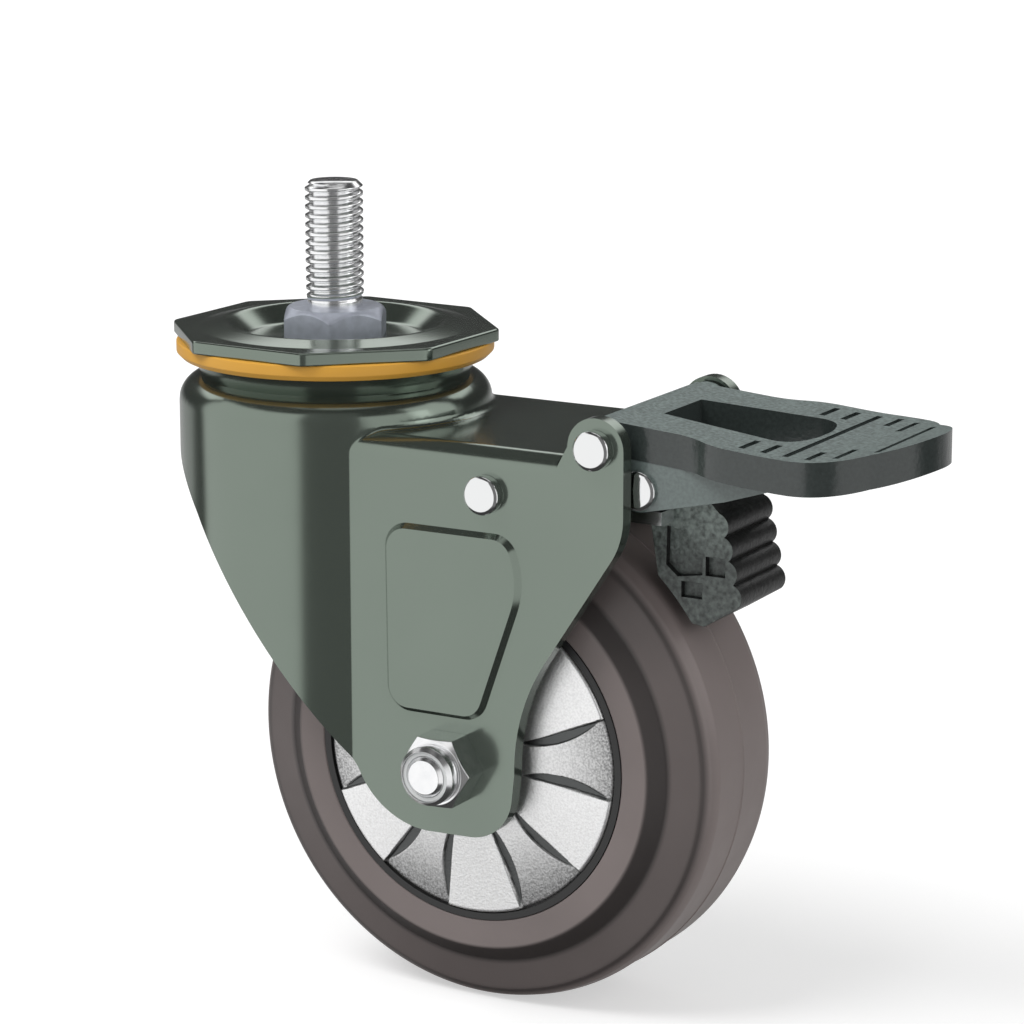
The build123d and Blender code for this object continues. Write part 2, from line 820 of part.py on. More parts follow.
def window_plan(margin):
    """The opening through the tread, narrow at the root and wide and rounded at the tip, plus a margin."""
    start = pedal_pin_x + window_start - margin
    end = pedal_pin_x + window_end + margin
    root = window_root_half_width + margin
    wide = window_half_width + margin
    length = end - start
    return symmetric_face([
        Line((start, 0), (start, root)),
        Line((start, root), (start + 0.8 * length, wide)),
        ThreePointArc(
            (start + 0.8 * length, wide),
            (start + 0.89 * length, 0.94 * wide),
            (start + 0.95 * length, 0.75 * wide),
        ),
        ThreePointArc((start + 0.95 * length, 0.75 * wide), (start + 0.99 * length, 0.4 * wide), (end, 0)),
    ])


def tread_line(drop):
    """The pedal's top seen from the side, dipping behind its pin and rising to the tip, lowered by a drop."""
    px, pz = pedal_pin
    tip = px + pedal_reach
    return Spline(
        (px - 8.0, pz + 5.3 - drop),
        (px + 1.8, pz + 4.5 - drop),
        (px + 13.3, pz + 3.6 - drop),
        (px + 29.0, pz + 2.3 - drop),
        (px + 41.0, pz + 1.7 - drop),
        (tip, pz + 4.6 - drop),
        (tip + 3.0, pz + 5.7 - drop),
    )


def tread_band(upper, lower):
    """The layer between two drops below the pedal's top, wider than the pedal."""
    top = tread_line(upper)
    bottom = tread_line(lower)
    ends = [
        Line(top @ 1, bottom @ 1),
        Line(bottom @ 0, top @ 0),
    ]
    return across(make_face(Curve() + [top, bottom] + ends), 2 * pedal_half_width)


def cheek_outline():
    """Side cheek that carries the shoe pin, tapering out under the tread."""
    sx, sz = shoe_pin
    px, pz = pedal_pin
    return outline([
        (px - 1.0, pz - 3.0),
        (px - 1.0, pz + 1.0),
        (sx + 10.0, pz - 2.0),
        (sx + 29.6, sz + 3.6),
        (sx + 17.4, sz - 0.3),
        (sx + 0.9, sz - cheek_boss_radius + 0.05),
        (sx - 3.2, sz - 2.5),
    ])


def tread_grooves():
    """Cross grooves in the tread: full width beside the window and near the tip, else at the sides."""
    outer = pedal_half_width - groove_margin
    beside = window_half_width + 2.4
    tip_row = pedal_reach - pedal_nose_length
    starts = [beside, beside, 0, beside]
    rows = [(groove_first + step * groove_pitch, start, outer) for step, start in enumerate(starts)]
    rows += [(groove_first + 4 * groove_pitch, 0.45 * outer, 0.88 * outer), (tip_row, 0, 0.62 * outer)]
    cuts = Part()
    for along, inner, outer in rows:
        x = pedal_pin_x + along
        half = groove_width / 2
        bar = block(x - half, x + half, inner, outer, -20, 0)
        cuts += bar
        cuts += mirror(bar, Plane.XZ)
    return cuts & tread_band(-3, tread_groove_depth)


def pedal():
    """Moulded pedal: hollow tread with a skirt, window frame, pin barrel and two cheeks."""
    floor = 2 * pedal_pin[1] - pedal_skirt
    plan = pedal_plan()
    column = Pos(0, 0, floor) * extrude(plan, -floor)
    inner_column = Pos(0, 0, floor) * extrude(offset(plan, -pedal_wall), -floor)
    window = Pos(0, 0, floor) * extrude(window_plan(0), -floor)
    frame = Pos(0, 0, floor) * extrude(window_plan(window_wall), -floor)
    body = column & tread_band(0, pedal_skirt)
    hollow = (inner_column - frame) & tread_band(pedal_wall, 2 * pedal_skirt)
    hollow -= block(0, pedal_pin_x + pedal_front, -leg_outer, leg_outer, floor, 0)
    body -= hollow
    cheek = extrude(Plane.XZ * cheek_outline(), cheek_outer) - extrude(Plane.XZ * cheek_outline(), cheek_inner)
    boss = sideways(shoe_pin, cheek_boss_radius, -cheek_outer, -cheek_inner)
    body += both_sides(cheek + boss)
    body += sideways(pedal_pin, barrel_radius, -pedal_barrel_half_width, pedal_barrel_half_width)
    body -= window
    body -= tread_grooves()
    body -= sideways(pedal_pin, pin_radius + pin_clearance, -leg_outer, leg_outer)
    body -= sideways(shoe_pin, pin_radius + pin_clearance, -leg_outer, leg_outer)
    return body


# Brake shoe


def shoe_outline():
    """The shoe seen from the side: neck, face that follows the tread, foot and ribbed back."""
    sx, sz = shoe_pin
    ax, az = axle_centre
    grip = wheel_radius + shoe_tread_gap
    first = radians(46.5)
    last = radians(34.5)
    middle = (first + last) / 2
    start = (ax + grip * cos(first), az + grip * sin(first))
    turn = (ax + grip * cos(middle), az + grip * sin(middle))
    end = (ax + grip * cos(last), az + grip * sin(last))
    foot = (sx + shoe_foot_back, sz - shoe_foot_drop)
    low = (sx + shoe_heel_back, sz - shoe_heel_drop)
    edges = [
        Line((sx - 4.0, sz - 1.0), start),
        ThreePointArc(start, turn, end),
        Line(end, foot),
        Line(foot, low),
    ]
    for step in range(shoe_rib_count):
        high = (low[0] - rib_lean, low[1] + rib_pitch)
        crest = (low[0] + rib_height - rib_lean / 2, low[1] + rib_pitch / 2)
        edges.append(ThreePointArc(low, crest, high))
        low = high
    edges.append(Line(low, (sx + 3.0, sz + 3.0)))
    edges.append(Line((sx + 3.0, sz + 3.0), (sx - 4.0, sz - 1.0)))
    return make_face(Curve() + edges)


def shoe_reliefs():
    """The three shallow recesses that leave a raised plate and foot on each side of the shoe."""
    sx, sz = shoe_pin
    front = outline([
        (sx + 0.6, sz - 8.6),
        (sx + 4.6, sz - 9.4),
        (sx + 7.9, sz - 13.4),
        (sx + 7.9, sz - 17.2),
        (sx + 2.8, sz - 18.0),
        (sx + 0.4, sz - 16.0),
    ])
    face = shoe_half_width
    floor = face - shoe_relief_depth
    recess = extrude(Plane.XZ * front, face) - extrude(Plane.XZ * front, floor)
    recess += block(sx + 8.6, sx + 12.6, -face, -floor, sz - 17.2, sz - 13.6)
    recess += block(sx + 3.6, sx + 7.9, -face, -floor, sz - 21.8, sz - 18.8)
    return both_sides(recess)


def brake_shoe():
    """Moulded shoe on its hub, slotted in the middle for the spring, with relief on its sides."""
    shoe = across(shoe_outline(), shoe_half_width)
    hub_half = cheek_inner - shoe_side_gap
    shoe += sideways(shoe_pin, shoe_hub_radius, -hub_half, hub_half)
    sx, sz = shoe_pin
    slot = spring_slot_half_width
    shoe -= sideways(shoe_pin, shoe_hub_radius + 1.2, -slot, slot)
    shoe -= block(sx - 0.6, sx + 6.4, -slot, slot, sz - 12, sz)
    shoe -= shoe_reliefs()
    shoe -= sideways(shoe_pin, pin_radius + pin_clearance, -hub_half - 1, hub_half + 1)
    return shoe


def straight_wire(x, y, low, high):
    """A straight upright piece of the spring's wire."""
    return Pos(x, y, (low + high) / 2) * Cylinder(spring_wire / 2, high - low)


def shoe_spring():
    """Torsion spring round the shoe pin, one leg on the pedal's barrel and one down in the shoe's slot."""
    sx, sz = shoe_pin
    coil_radius = pin_radius + 0.3 + spring_wire / 2
    pitch = spring_wire + 0.1
    height = pitch * (spring_turns - 0.5)
    helix = Helix(pitch, height, coil_radius)
    section = Plane(origin=helix @ 0, z_dir=helix % 0) * Circle(spring_wire / 2)
    coil = Pos(0, height / 2, 0) * Rot(90, 0, 0) * sweep(section, path=helix)
    leg_x = coil_radius - spring_leg_inset
    lap = spring_leg_lap
    lower = straight_wire(leg_x, height / 2, -spring_lower_leg, lap / 2)
    upper = straight_wire(-leg_x, -height / 2, -lap / 2, spring_upper_leg)
    return Pos(sx, 0, sz) * (coil + lower + upper)


# Lock lever


def lever_side(layers):
    """One face of the lever's strip from the side, as many sheet layers down as given: tongue, rise, tail."""
    px, pz = lever_pin
    shift = lever_sheet * layers
    tongue = lever_tongue_top - shift
    plateau = lever_plateau_top() - shift
    tail = shoe_pin[1] - shoe_hub_radius - lever_tail_gap - shift
    return [
        (lock_ring_radius - lever_tongue_inset, tongue),
        (px - 10.0, tongue),
        (px - 5.0, plateau),
        (px + 5.0, plateau),
        (px + 11.0, tail),
        (shoe_pin[0] + lever_tail_past_pin, tail),
    ]


def lever_plateau_top():
    """Height of the lever where it passes over its pin."""
    return lever_pin[1] + pin_radius + lever_plateau_gap + lever_sheet


def lever_plan():
    """The lever seen from above: narrow tongue, wide over the pin, and a slotted tail."""
    tip = lock_ring_radius - lever_tongue_inset - 1
    end = shoe_pin[0] + lever_tail_past_pin + 1
    wide = leg_inner - lever_side_gap
    half = [
        (tip, lever_tongue_half_width),
        (lever_pin_x - 14.0, lever_tongue_half_width),
        (lever_pin_x - 4.5, wide),
        (lever_pin_x + 4.5, wide),
        (lever_pin_x + 9.0, lever_tail_half_width),
        (end, lever_tail_half_width),
        (end, lever_tail_slot),
        (lever_pin_x + 8.0, lever_tail_slot),
    ]
    return outline(half + [(x, -y) for x, y in half[::-1]])


def lock_lever():
    """Pressed lever: toothed tongue in front, lugs on the pin, forked tail under the shoe's hub."""
    px, pz = lever_pin
    floor = -axle_drop
    wide = leg_inner - lever_side_gap
    strip = across(outline(lever_side(0) + lever_side(1)[::-1]), wide)
    lever = strip & (Pos(0, 0, floor) * extrude(lever_plan(), -floor))
    top = lever_plateau_top()
    lug_face = outline([
        (px - 4.5, top),
        (px + 4.5, top),
        (px + lever_lug_radius, pz),
        (px - lever_lug_radius, pz),
    ])
    lug = extrude(Plane.XZ * lug_face, wide) - extrude(Plane.XZ * lug_face, wide - lever_sheet)
    lug += sideways(lever_pin, lever_lug_radius, -wide, lever_sheet - wide)
    lever += both_sides(lug)
    tooth_top = lock_ring_bottom - sheet_gap
    tooth_foot = lever_tongue_top - lever_sheet / 2
    middle = lock_ring_radius - lock_notch_depth / 2 - 0.4
    tooth = block(
        middle - lock_tooth_length / 2,
        middle + lock_tooth_length / 2,
        -lock_tooth_width / 2,
        lock_tooth_width / 2,
        tooth_foot,
        tooth_top,
    )
    for step in range(lock_tooth_count):
        turn = (step - (lock_tooth_count - 1) / 2) * 360 / lock_notch_count
        lever += Rot(0, 0, turn) * tooth
    lever -= sideways(lever_pin, pin_radius + pin_clearance, -leg_outer, leg_outer)
    return lever


parts = {
    "stem_bolt": stem_bolt(),
    "top_plate": top_plate(),
    "dust_ring": dust_ring(),
    "upper_balls": ball_ring(upper_ball_count, upper_ball_circle, upper_ball_radius, upper_ball_z),
    "kingpin_sleeve": kingpin_sleeve(),
    "lower_balls": ball_ring(lower_ball_count, lower_ball_circle, lower_ball_radius, lower_ball_z),
    "lower_race": lower_race(),
    "lock_ring": lock_ring(),
    "kingpin_nut": kingpin_nut(),
    "fork": fork(),
    "axle_bolt": axle_bolt(),
    "axle_nut": axle_nut(),
    "nut_insert": nut_insert(),
    "axle_sleeve": axle_sleeve(),
    "wheel_core": wheel_core(),
    "tyre": tyre(),
    "lever_pin": riveted_pin(lever_pin, leg_outer, rivet_head_height),
    "pedal_pin": riveted_pin(pedal_pin, leg_outer, rivet_head_height),
    "shoe_pin": riveted_pin(shoe_pin, cheek_outer, cheek_head_height),
    "pedal": pedal(),
    "brake_shoe": brake_shoe(),
    "shoe_spring": shoe_spring(),
    "lock_lever": lock_lever(),
}
for place, side in (("near", -1), ("far", 1)):
    parts["axle_spacer_" + place] = axle_spacer(side)
    parts["bearing_outer_" + place] = bearing_outer_ring(side)
    parts["bearing_inner_" + place] = bearing_inner_ring(side)
    parts["bearing_balls_" + place] = bearing_balls(side)
    parts["bearing_shield_" + place] = bearing_shield(side)
    parts["hub_cover_" + place] = hub_cover(side)

os.makedirs("parts", exist_ok=True)
for name, shape in parts.items():
    export_step(shape, "parts/" + name + ".step")
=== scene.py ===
import math

import bmesh
import bpy
import numpy as np
from bpy.props import FloatProperty, FloatVectorProperty, IntProperty
from mathutils import Matrix, Vector


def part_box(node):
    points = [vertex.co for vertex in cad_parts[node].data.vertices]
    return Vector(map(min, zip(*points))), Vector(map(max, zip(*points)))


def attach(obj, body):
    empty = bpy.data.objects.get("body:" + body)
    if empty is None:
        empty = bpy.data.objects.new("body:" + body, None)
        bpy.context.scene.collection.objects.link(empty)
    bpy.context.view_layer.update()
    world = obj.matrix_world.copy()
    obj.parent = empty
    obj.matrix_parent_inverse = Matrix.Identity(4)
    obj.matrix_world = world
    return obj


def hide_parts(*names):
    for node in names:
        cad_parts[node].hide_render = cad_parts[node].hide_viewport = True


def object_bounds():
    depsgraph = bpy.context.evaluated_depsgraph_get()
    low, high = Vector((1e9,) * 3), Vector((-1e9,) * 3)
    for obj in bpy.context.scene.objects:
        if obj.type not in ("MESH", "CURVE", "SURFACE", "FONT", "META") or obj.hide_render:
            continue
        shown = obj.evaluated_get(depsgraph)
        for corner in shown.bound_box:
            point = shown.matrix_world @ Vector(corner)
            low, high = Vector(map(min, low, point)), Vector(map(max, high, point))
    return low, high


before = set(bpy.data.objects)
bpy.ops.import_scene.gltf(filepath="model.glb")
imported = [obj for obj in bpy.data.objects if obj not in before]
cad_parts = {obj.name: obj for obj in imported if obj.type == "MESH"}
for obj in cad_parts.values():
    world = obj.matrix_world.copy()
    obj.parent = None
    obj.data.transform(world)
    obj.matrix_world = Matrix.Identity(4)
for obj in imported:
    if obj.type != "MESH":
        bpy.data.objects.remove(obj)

bl_info = {
    "name": "Swivel castor looks",
    "version": (1, 0, 0),
    "blender": (4, 5, 0),
    "location": "3D View > Sidebar > Castor",
    "description": "Builds the visible pieces, finishes and studio of a threaded-stem swivel castor",
    "category": "Add Mesh",
}

# The solid model's box, kept from before any new piece is made
CAD_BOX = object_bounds()

# One millimetre in the scene's metres
MM = 0.001

# Sizes below are in millimetres and angles in degrees, and AROUND is the number of points round a circle.
# They follow the solids, or the photo where a detail is drawn only here.

# Points nearer than this are merged, and flats that turn by less than this angle become one face
MERGE_DISTANCE = 0.002
FLAT_ANGLE = 0.3

# Threaded stem: the thread's profile as shares of half a pitch, and the plain neck under it
THREAD_CREST_RADIUS = 5.65
CREST_SHARE = 0.22
ROOT_SHARE = 0.04
NECK_HEIGHT = 1.2
NECK_UNDERCUT = 0.25
STEM_CHAMFER = 1.0
STEM_AROUND = 96
STEM_ROWS_PER_TURN = 22

# Hexagon under the stem, and the kingpin's shank under that
HEXAGON_TURN = 26.6
HEXAGON_ROUNDING = 0.5
HEXAGON_SOFTNESS = 0.15
HEXAGON_AROUND = 144
CHAMFER_CIRCLE = 0.475
CHAMFER_SLOPE = 1.05
CHAMFER_BLEND = 0.2
SHANK_RADIUS = 6.0
SHANK_CHAMFER = 1.0

# Octagonal plate: a flat floor, a raised crest round it, and a flat rim that is stretched to the octagon
PLATE_TURN = -2.0
PLATE_CORNER = 2.0
PLATE_EDGE = 30.0
PLATE_BAND = 1.0
STRETCH_START = 27.3
PLATE_HOLE = 6.1
PLATE_AROUND = 384
DISH_FLOOR_RADIUS = 17.3
DISH_CREST_RADIUS = 21.5
DISH_RIM_RADIUS = 26.8
DISH_BEND = 2.4
CREST_RISE = 1.1
CREST_RISE_BELOW = 0.2

# Dust ring
DUST_RING_INNER = 28.0
DUST_RING_BEVEL = 1.0
DUST_RING_AROUND = 192

# Riveted pins: node, body and height of the head, and the sizes they share
PINS = (
    ("lever_pin", "fork_body", 2.6),
    ("pedal_pin", "fork_body", 2.6),
    ("shoe_pin", "brake_pedal", 1.4),
)
PIN_RADIUS = 2.5
PIN_AROUND = 64
RIVET_BEVEL = 0.6
RIVET_DOME = 0.2

# Radius left on the edges of pieces that are copied from their solids
AXLE_ROUNDING = 0.18
CORE_ROUNDING = 0.25
NUT_ROUNDING = 0.25
LEVER_ROUNDING = 0.3
SHOE_ROUNDING = 0.4

# Tyre, by radius from the axle and half width from the wheel's middle
TYRE_INNER = 36.0
TYRE_SEAT = 32.7
TYRE_OUTER = 50.0
TYRE_LIP_FALL = 0.3
TYRE_AROUND = 256
CORE_HALF_WIDTH = 13.5
BAND_EDGE = 38.2
STEP_EDGE = 41.1
STEP_HALF_WIDTH = 14.9
SHOULDER_START = 47.6
SHOULDER_HALF_WIDTH = 13.5
SHOULDER_FALL = 1.2
TREAD_START = 49.1
TREAD_HALF_WIDTH = 9.8
PARTING_HALF_WIDTH = 0.16
PARTING_RISE = 0.18

# The tyre's colour by radius, as shares of its full colour, with painted shade and light: band, step, side
# wall, shoulder, tread
TYRE_SHADE_BANDS = (
    (BAND_EDGE - 0.5, 1.04),
    (BAND_EDGE + 0.3, 0.22),
    (STEP_EDGE + 0.1, 0.2),
    (STEP_EDGE + 1.1, 0.64),
    (SHOULDER_START - 0.6, 0.6),
    (SHOULDER_START + 0.4, 0.3),
    (SHOULDER_START + 1.3, 0.94),
    (TYRE_OUTER - 0.3, 1.2),
)

# Hub covers: the cone from crown to rim, its rings of points with a lip at each end, and steps per petal
COVER_HOLE = 11.4
COVER_CROWN = 14.5
COVER_DROP = 1.5
COVER_WALL = 1.2
COVER_HOLE_LIP = 0.3
COVER_RINGS_START = 11.9
COVER_RINGS = 64
COVER_STEPS = 100
COVER_LIP = 0.4
COVER_LIP_MIDDLE = 0.15
COVER_LIP_FALL = (0.1, 0.5)
PETAL_TURN = 21.5

# Crescent flutes between the petals: entry is how fast their ends deepen, fade how late the rim ends them
FLUTE_START = 12.2
FLUTE_WIDTH = 1.9
FLUTE_WALL = 0.1
FLUTE_LEAN = 0.35
FLUTE_ENTRY = 3
FLUTE_FADE = 4

# Hollows at the outer ends of every second petal: growth is the power by which they deepen on the way out,
# and the mark's growth the power by which painted shade darkens them
HOLLOW_EDGE = 0.5
HOLLOW_GROWTH = 2.4
HOLLOW_SHADE_GROWTH = 1.6

# Heights at which the pedal's skirt ends, with its fall towards the tip, and the shoe's side darkens
SKIRT_LOW = -12.7
SKIRT_FALL = 0.08
SKIRT_BLEND = 0.4
SHOE_DARK = -40.0
SHOE_LIGHT = -30.0

# Lamps: name, azimuth, elevation, share of the key light's strength, and width in degrees
LAMPS = (
    ("key_light", -38, 58, 1.0, 34),
    ("side_light", 75, 30, 0.28, 40),
)

# Studio for reflections: its dark, and panels by azimuth, half width, lowest and highest elevation,
# softness and strength
STUDIO_DARK = 0.05
STUDIO_PANELS = (
    # A large panel in front on the left, and dim ones round the camera
    (-38, 43, -32, 42, 4, 1.0),
    (28, 24, -45, 50, 5, 0.13),
    (30, 120, -90, 60, 8, 0.12),
    # Two panels on the right
    (79, 28, -32, 30, 4, 0.9),
    (112, 20, 0, 45, 4, 1.15),
    # The ceiling, and a panel high at the back
    (0, 179, 68, 89, 5, 0.7),
    (-150, 62, 26, 40, 4, 1.5),
    # A low panel behind the object, for views from the back
    (200, 64, -50, -4, 8, 0.45),
)

# Half the floor's width in metres, and light on it that the camera alone sees, so that it meets the white
# behind it
FLOOR_REACH = 12.0
FLOOR_LIFT = 0.5

# Camera fitted to the photograph, which is this many pixels wide
PHOTO_WIDTH = 1024
CAMERA_AZIMUTH = 29.729
CAMERA_ELEVATION = 13.025
CAMERA_ROLL = -0.071
CAMERA_FOCAL_PIXELS = 3832.557
CAMERA_PLACE = (395.099, -622.509, 128.942)
CAMERA_SENSOR = 36.0
CAMERA_CLIP = (0.02, 60)

# Settings that several nodes share
MIX_COLOURS = {"data_type": "RGBA"}
MULTIPLY_COLOURS = {"data_type": "RGBA", "blend_type": "MULTIPLY"}
SOFT_STEP = {"interpolation_type": "SMOOTHSTEP"}

# Numbers of a colour Mix node's sockets: its two colours, and the result among its outputs
FIRST, SECOND, MIXED = 6, 7, 2


def corners(node):
    """The lowest and highest corner of a node, in millimetres."""
    low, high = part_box(node)
    return np.array(low) / MM, np.array(high) / MM


def centre_of(node):
    """The middle of a node's box, in millimetres."""
    low, high = corners(node)
    return (low + high) / 2


def linear(hex_colour):
    """An sRGB hex colour as linear red, green and blue."""
    channels = np.array([int(hex_colour[i:i + 2], 16) for i in (1, 3, 5)]) / 255
    low = channels / 12.92
    high = ((channels + 0.055) / 1.055) ** 2.4
    return tuple(np.where(channels <= 0.04045, low, high))


def colour_property(name, hex_colour, description):
    """A colour that the sidebar shows, given as sRGB hex."""
    return FloatVectorProperty(
        name=name, description=description, size=3, subtype="COLOR", min=0, max=1,
        default=linear(hex_colour),
    )


def length_property(name, millimetres, description):
    """A length that the sidebar shows, given in millimetres."""
    return FloatProperty(
        name=name, description=description, min=0, unit="LENGTH", subtype="DISTANCE",
        default=millimetres * MM,
    )


# Sizes and colours that a user would change


class CastorHeadSettings(bpy.types.PropertyGroup):
    thread_pitch: length_property("Thread pitch", 1.75, "Distance from one thread crest to the next")
    thread_depth: length_property("Thread depth", 0.85, "Depth of the thread from crest to root")
    hexagon_flats: length_property("Hexagon width", 19.0, "Width of the stem's hexagon across its flats")
    hexagon_height: length_property("Hexagon height", 6.0, "Height of the stem's hexagon")
    plate_flats: length_property("Plate width", 60.0, "Width of the octagonal plate across its flats")
    plate_thickness: length_property("Plate thickness", 2.5, "Sheet thickness of the octagonal plate")
    zinc_colour: colour_property("Zinc", "#fbfcfe", "Bright zinc plating of the stem, bolt and nuts")
    hexagon_colour: colour_property("Hexagon", "#bcc1cd", "Dull blue zinc plating of the stem's hexagon")
    ring_colour: colour_property("Dust ring", "#e6ab43", "Moulded colour of the dust ring")


class CastorForkSettings(bpy.types.PropertyGroup):
    edge_rounding: length_property("Edge rounding", 0.35, "Radius left on the sheet's cut edges")
    coat_colour: colour_property("Coat", "#7b867c", "Grey-green coat of the fork and plate")
    coat_roughness: FloatProperty(
        name="Coat roughness", description="Roughness of the coat", default=0.14, min=0, max=1,
        subtype="FACTOR",
    )


class CastorWheelSettings(bpy.types.PropertyGroup):
    petals: IntProperty(
        name="Petals", description="Petals on each hub cover", default=12, min=2, max=24
    )
    groove_depth: length_property("Groove depth", 0.7, "Depth of the crescent grooves between the petals")
    hollow_depth: length_property("Hollow depth", 0.7, "Depth of every second petal's outer end")
    tyre_colour: colour_property("Tyre", "#7d7371", "Brown-grey rubber of the tyre")
    cover_colour: colour_property("Hub cover", "#fafafa", "Metallic silver of the hub covers")


class CastorPedalSettings(bpy.types.PropertyGroup):
    edge_rounding: length_property("Edge rounding", 0.5, "Radius on the pedal's moulded edges")
    pedal_colour: colour_property("Pedal", "#4d5654", "Dark grey-green of the moulded pedal")
    shoe_colour: colour_property("Shoe", "#2d2e2d", "Black of the brake shoe")


class CastorStageSettings(bpy.types.PropertyGroup):
    sun_strength: FloatProperty(
        name="Key light", description="Strength of the key light", default=1.9, min=0
    )
    fill_strength: FloatProperty(
        name="Fill light", description="Strength of the even fill", default=0.42, min=0
    )
    floor_colour: colour_property("Floor", "#cdcdcd", "Pale studio floor")


# Shapes as arrays of points, in millimetres


def rounded(outline, steps=5):
    """A closed outline of (x, y, rounding) corners, each replaced by an arc of its rounding.

    Each corner is a rational quadratic curve between its two tangent points, with the corner itself as the
    middle control point and the cosine of half the turn as its weight, which is a true circular arc. An arc
    takes up less than half of the sides it joins.
    """
    outline = np.asarray(outline, float)
    corner, radius = outline[:, :2], outline[:, 2]
    before = np.roll(corner, 1, 0) - corner
    after = np.roll(corner, -1, 0) - corner
    room = np.minimum(np.linalg.norm(before, axis=1), np.linalg.norm(after, axis=1)) * 0.49
    before /= np.linalg.norm(before, axis=1)[:, None]
    after /= np.linalg.norm(after, axis=1)[:, None]
    half_angle = np.arccos(np.clip((before * after).sum(1), -1, 1)) / 2
    reach = np.minimum(radius / np.tan(np.maximum(half_angle, 1e-3)), room)[:, None]
    weight = np.sin(half_angle)[:, None, None]
    t = np.linspace(0, 1, steps)[None, :, None]
    start = (corner + before * reach)[:, None]
    end = (corner + after * reach)[:, None]
    a, b, c = (1 - t) ** 2, 2 * weight * t * (1 - t), t ** 2
    return ((a * start + b * corner[:, None] + c * end) / (a + b + c)).reshape(-1, 2)


def rounded_both_sides(half, steps):
    """The rounded outline of (radius, sideways, rounding) corners and their mirror image."""
    mirrored = [(radius, -sideways, rounding) for radius, sideways, rounding in half[::-1] if sideways]
    return rounded([*half, *mirrored], steps)


def smooth_step(low, high, value):
    """0 below low, 1 above high, and an even S-shaped rise between them."""
    t = np.clip((value - low) / np.maximum(high - low, 1e-9), 0, 1)
    return t * t * (3 - 2 * t)


def ring_angles(count):
    """Evenly spaced angles once round, in radians."""
    return np.linspace(0, 2 * np.pi, count, endpoint=False)


def about_swivel(radius, height, angle):
    """Points at a radius and height about the swivel axis."""
    return np.stack(np.broadcast_arrays(radius * np.cos(angle), radius * np.sin(angle), height), -1)


def about_cross_axis(centre, radius, sideways, angle):
    """Points at a radius and sideways place about an axis that runs along Y through the centre."""
    x = centre[0] + radius * np.cos(angle)
    z = centre[2] + radius * np.sin(angle)
    return np.stack(np.broadcast_arrays(x, sideways, z), -1)


def polygon_radius(flats, sides, turn, corner_rounding, angle):
    """Polar radius of a regular polygon with rounded corners: flat sides, then an arc near each corner."""
    step = np.pi / sides
    around = (angle - math.radians(turn) + step) % (2 * step) - step
    apothem = flats / 2
    middle = (apothem - corner_rounding) / math.cos(step)
    to_corner = step - np.abs(around)
    flat = apothem / np.cos(around)
    inside = np.maximum(corner_rounding ** 2 - (middle * np.sin(to_corner)) ** 2, 0)
    arc = middle * np.cos(to_corner) + np.sqrt(inside)
    arc_starts = math.atan2(middle * math.sin(step), apothem)
    return np.where(np.abs(around) > arc_starts, arc, flat)


# Meshes from arrays


def piece(name, points, body, material, wrap=(True, True), smooth=30, marks=None):
    """A mesh of quads between neighbouring points of a grid, riding on a body.

    The grid's rows and columns close on themselves where wrap says so. Points that fall together, as at a
    pole, are merged, and faces are turned outwards. Edges sharper than the smooth angle stay sharp. Marks
    are named numbers on the points, which a material reads.
    """
    rows, columns = points.shape[:2]
    index = np.arange(rows * columns).reshape(rows, columns)
    if wrap[0]:
        index = np.vstack([index, index[:1]])
    if wrap[1]:
        index = np.hstack([index, index[:, :1]])
    quads = np.stack([index[:-1, :-1], index[:-1, 1:], index[1:, 1:], index[1:, :-1]], -1).reshape(-1, 4)
    mesh = bpy.data.meshes.new(name)
    mesh.vertices.add(rows * columns)
    mesh.vertices.foreach_set("co", (points * MM).astype(np.float32).ravel())
    mesh.loops.add(quads.size)
    mesh.loops.foreach_set("vertex_index", quads.astype(np.int32).ravel())
    mesh.polygons.add(len(quads))
    mesh.polygons.foreach_set("loop_start", np.arange(0, quads.size, 4, dtype=np.int32))
    mesh.update(calc_edges=True)
    for key, values in (marks or {}).items():
        layer = mesh.attributes.new(key, "FLOAT", "POINT")
        layer.data.foreach_set("value", values.astype(np.float32).ravel())
    clean_mesh(mesh, smooth)
    return settle(bpy.data.objects.new(name, mesh), body, material)


def clean_mesh(mesh, smooth, flat_angle=None):
    """Merges points that fall together, turns faces outwards and marks the sharp edges."""
    work = bmesh.new()
    work.from_mesh(mesh)
    bmesh.ops.remove_doubles(work, verts=work.verts, dist=MERGE_DISTANCE * MM)
    if flat_angle is not None:
        bmesh.ops.dissolve_limit(
            work, angle_limit=math.radians(flat_angle), verts=work.verts, edges=work.edges
        )
    bmesh.ops.recalc_face_normals(work, faces=work.faces)
    work.to_mesh(mesh)
    work.free()
    mesh.validate()
    mesh.shade_smooth()
    mesh.set_sharp_from_angle(angle=math.radians(smooth))


def settle(thing, body, material):
    """Puts a finished piece in the scene, on its body, with its material."""
    bpy.context.scene.collection.objects.link(thing)
    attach(thing, body)
    dress(thing, material)
    return thing


def moulded_copy(name, node, body, material, rounding, smooth=35):
    """A merged copy of a node's solid, with the small radius of pressing or moulding on its edges."""
    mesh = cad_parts[node].data.copy()
    mesh.name = name
    mesh.materials.clear()
    if "custom_normal" in mesh.attributes:
        mesh.attributes.remove(mesh.attributes["custom_normal"])
    clean_mesh(mesh, smooth, FLAT_ANGLE)
    copy = settle(bpy.data.objects.new(name, mesh), body, material)
    bevel = copy.modifiers.new("Rounded edges", "BEVEL")
    bevel.width = rounding
    bevel.segments = 3
    bevel.limit_method = "ANGLE"
    bevel.angle_limit = math.radians(smooth)
    bevel.use_clamp_overlap = True
    weighted = copy.modifiers.new("Even shading", "WEIGHTED_NORMAL")
    weighted.keep_sharp = True
    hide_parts(node)


def dress(thing, material):
    """Gives a piece or a node its only material."""
    thing.data.materials.clear()
    thing.data.materials.append(material)


# Materials


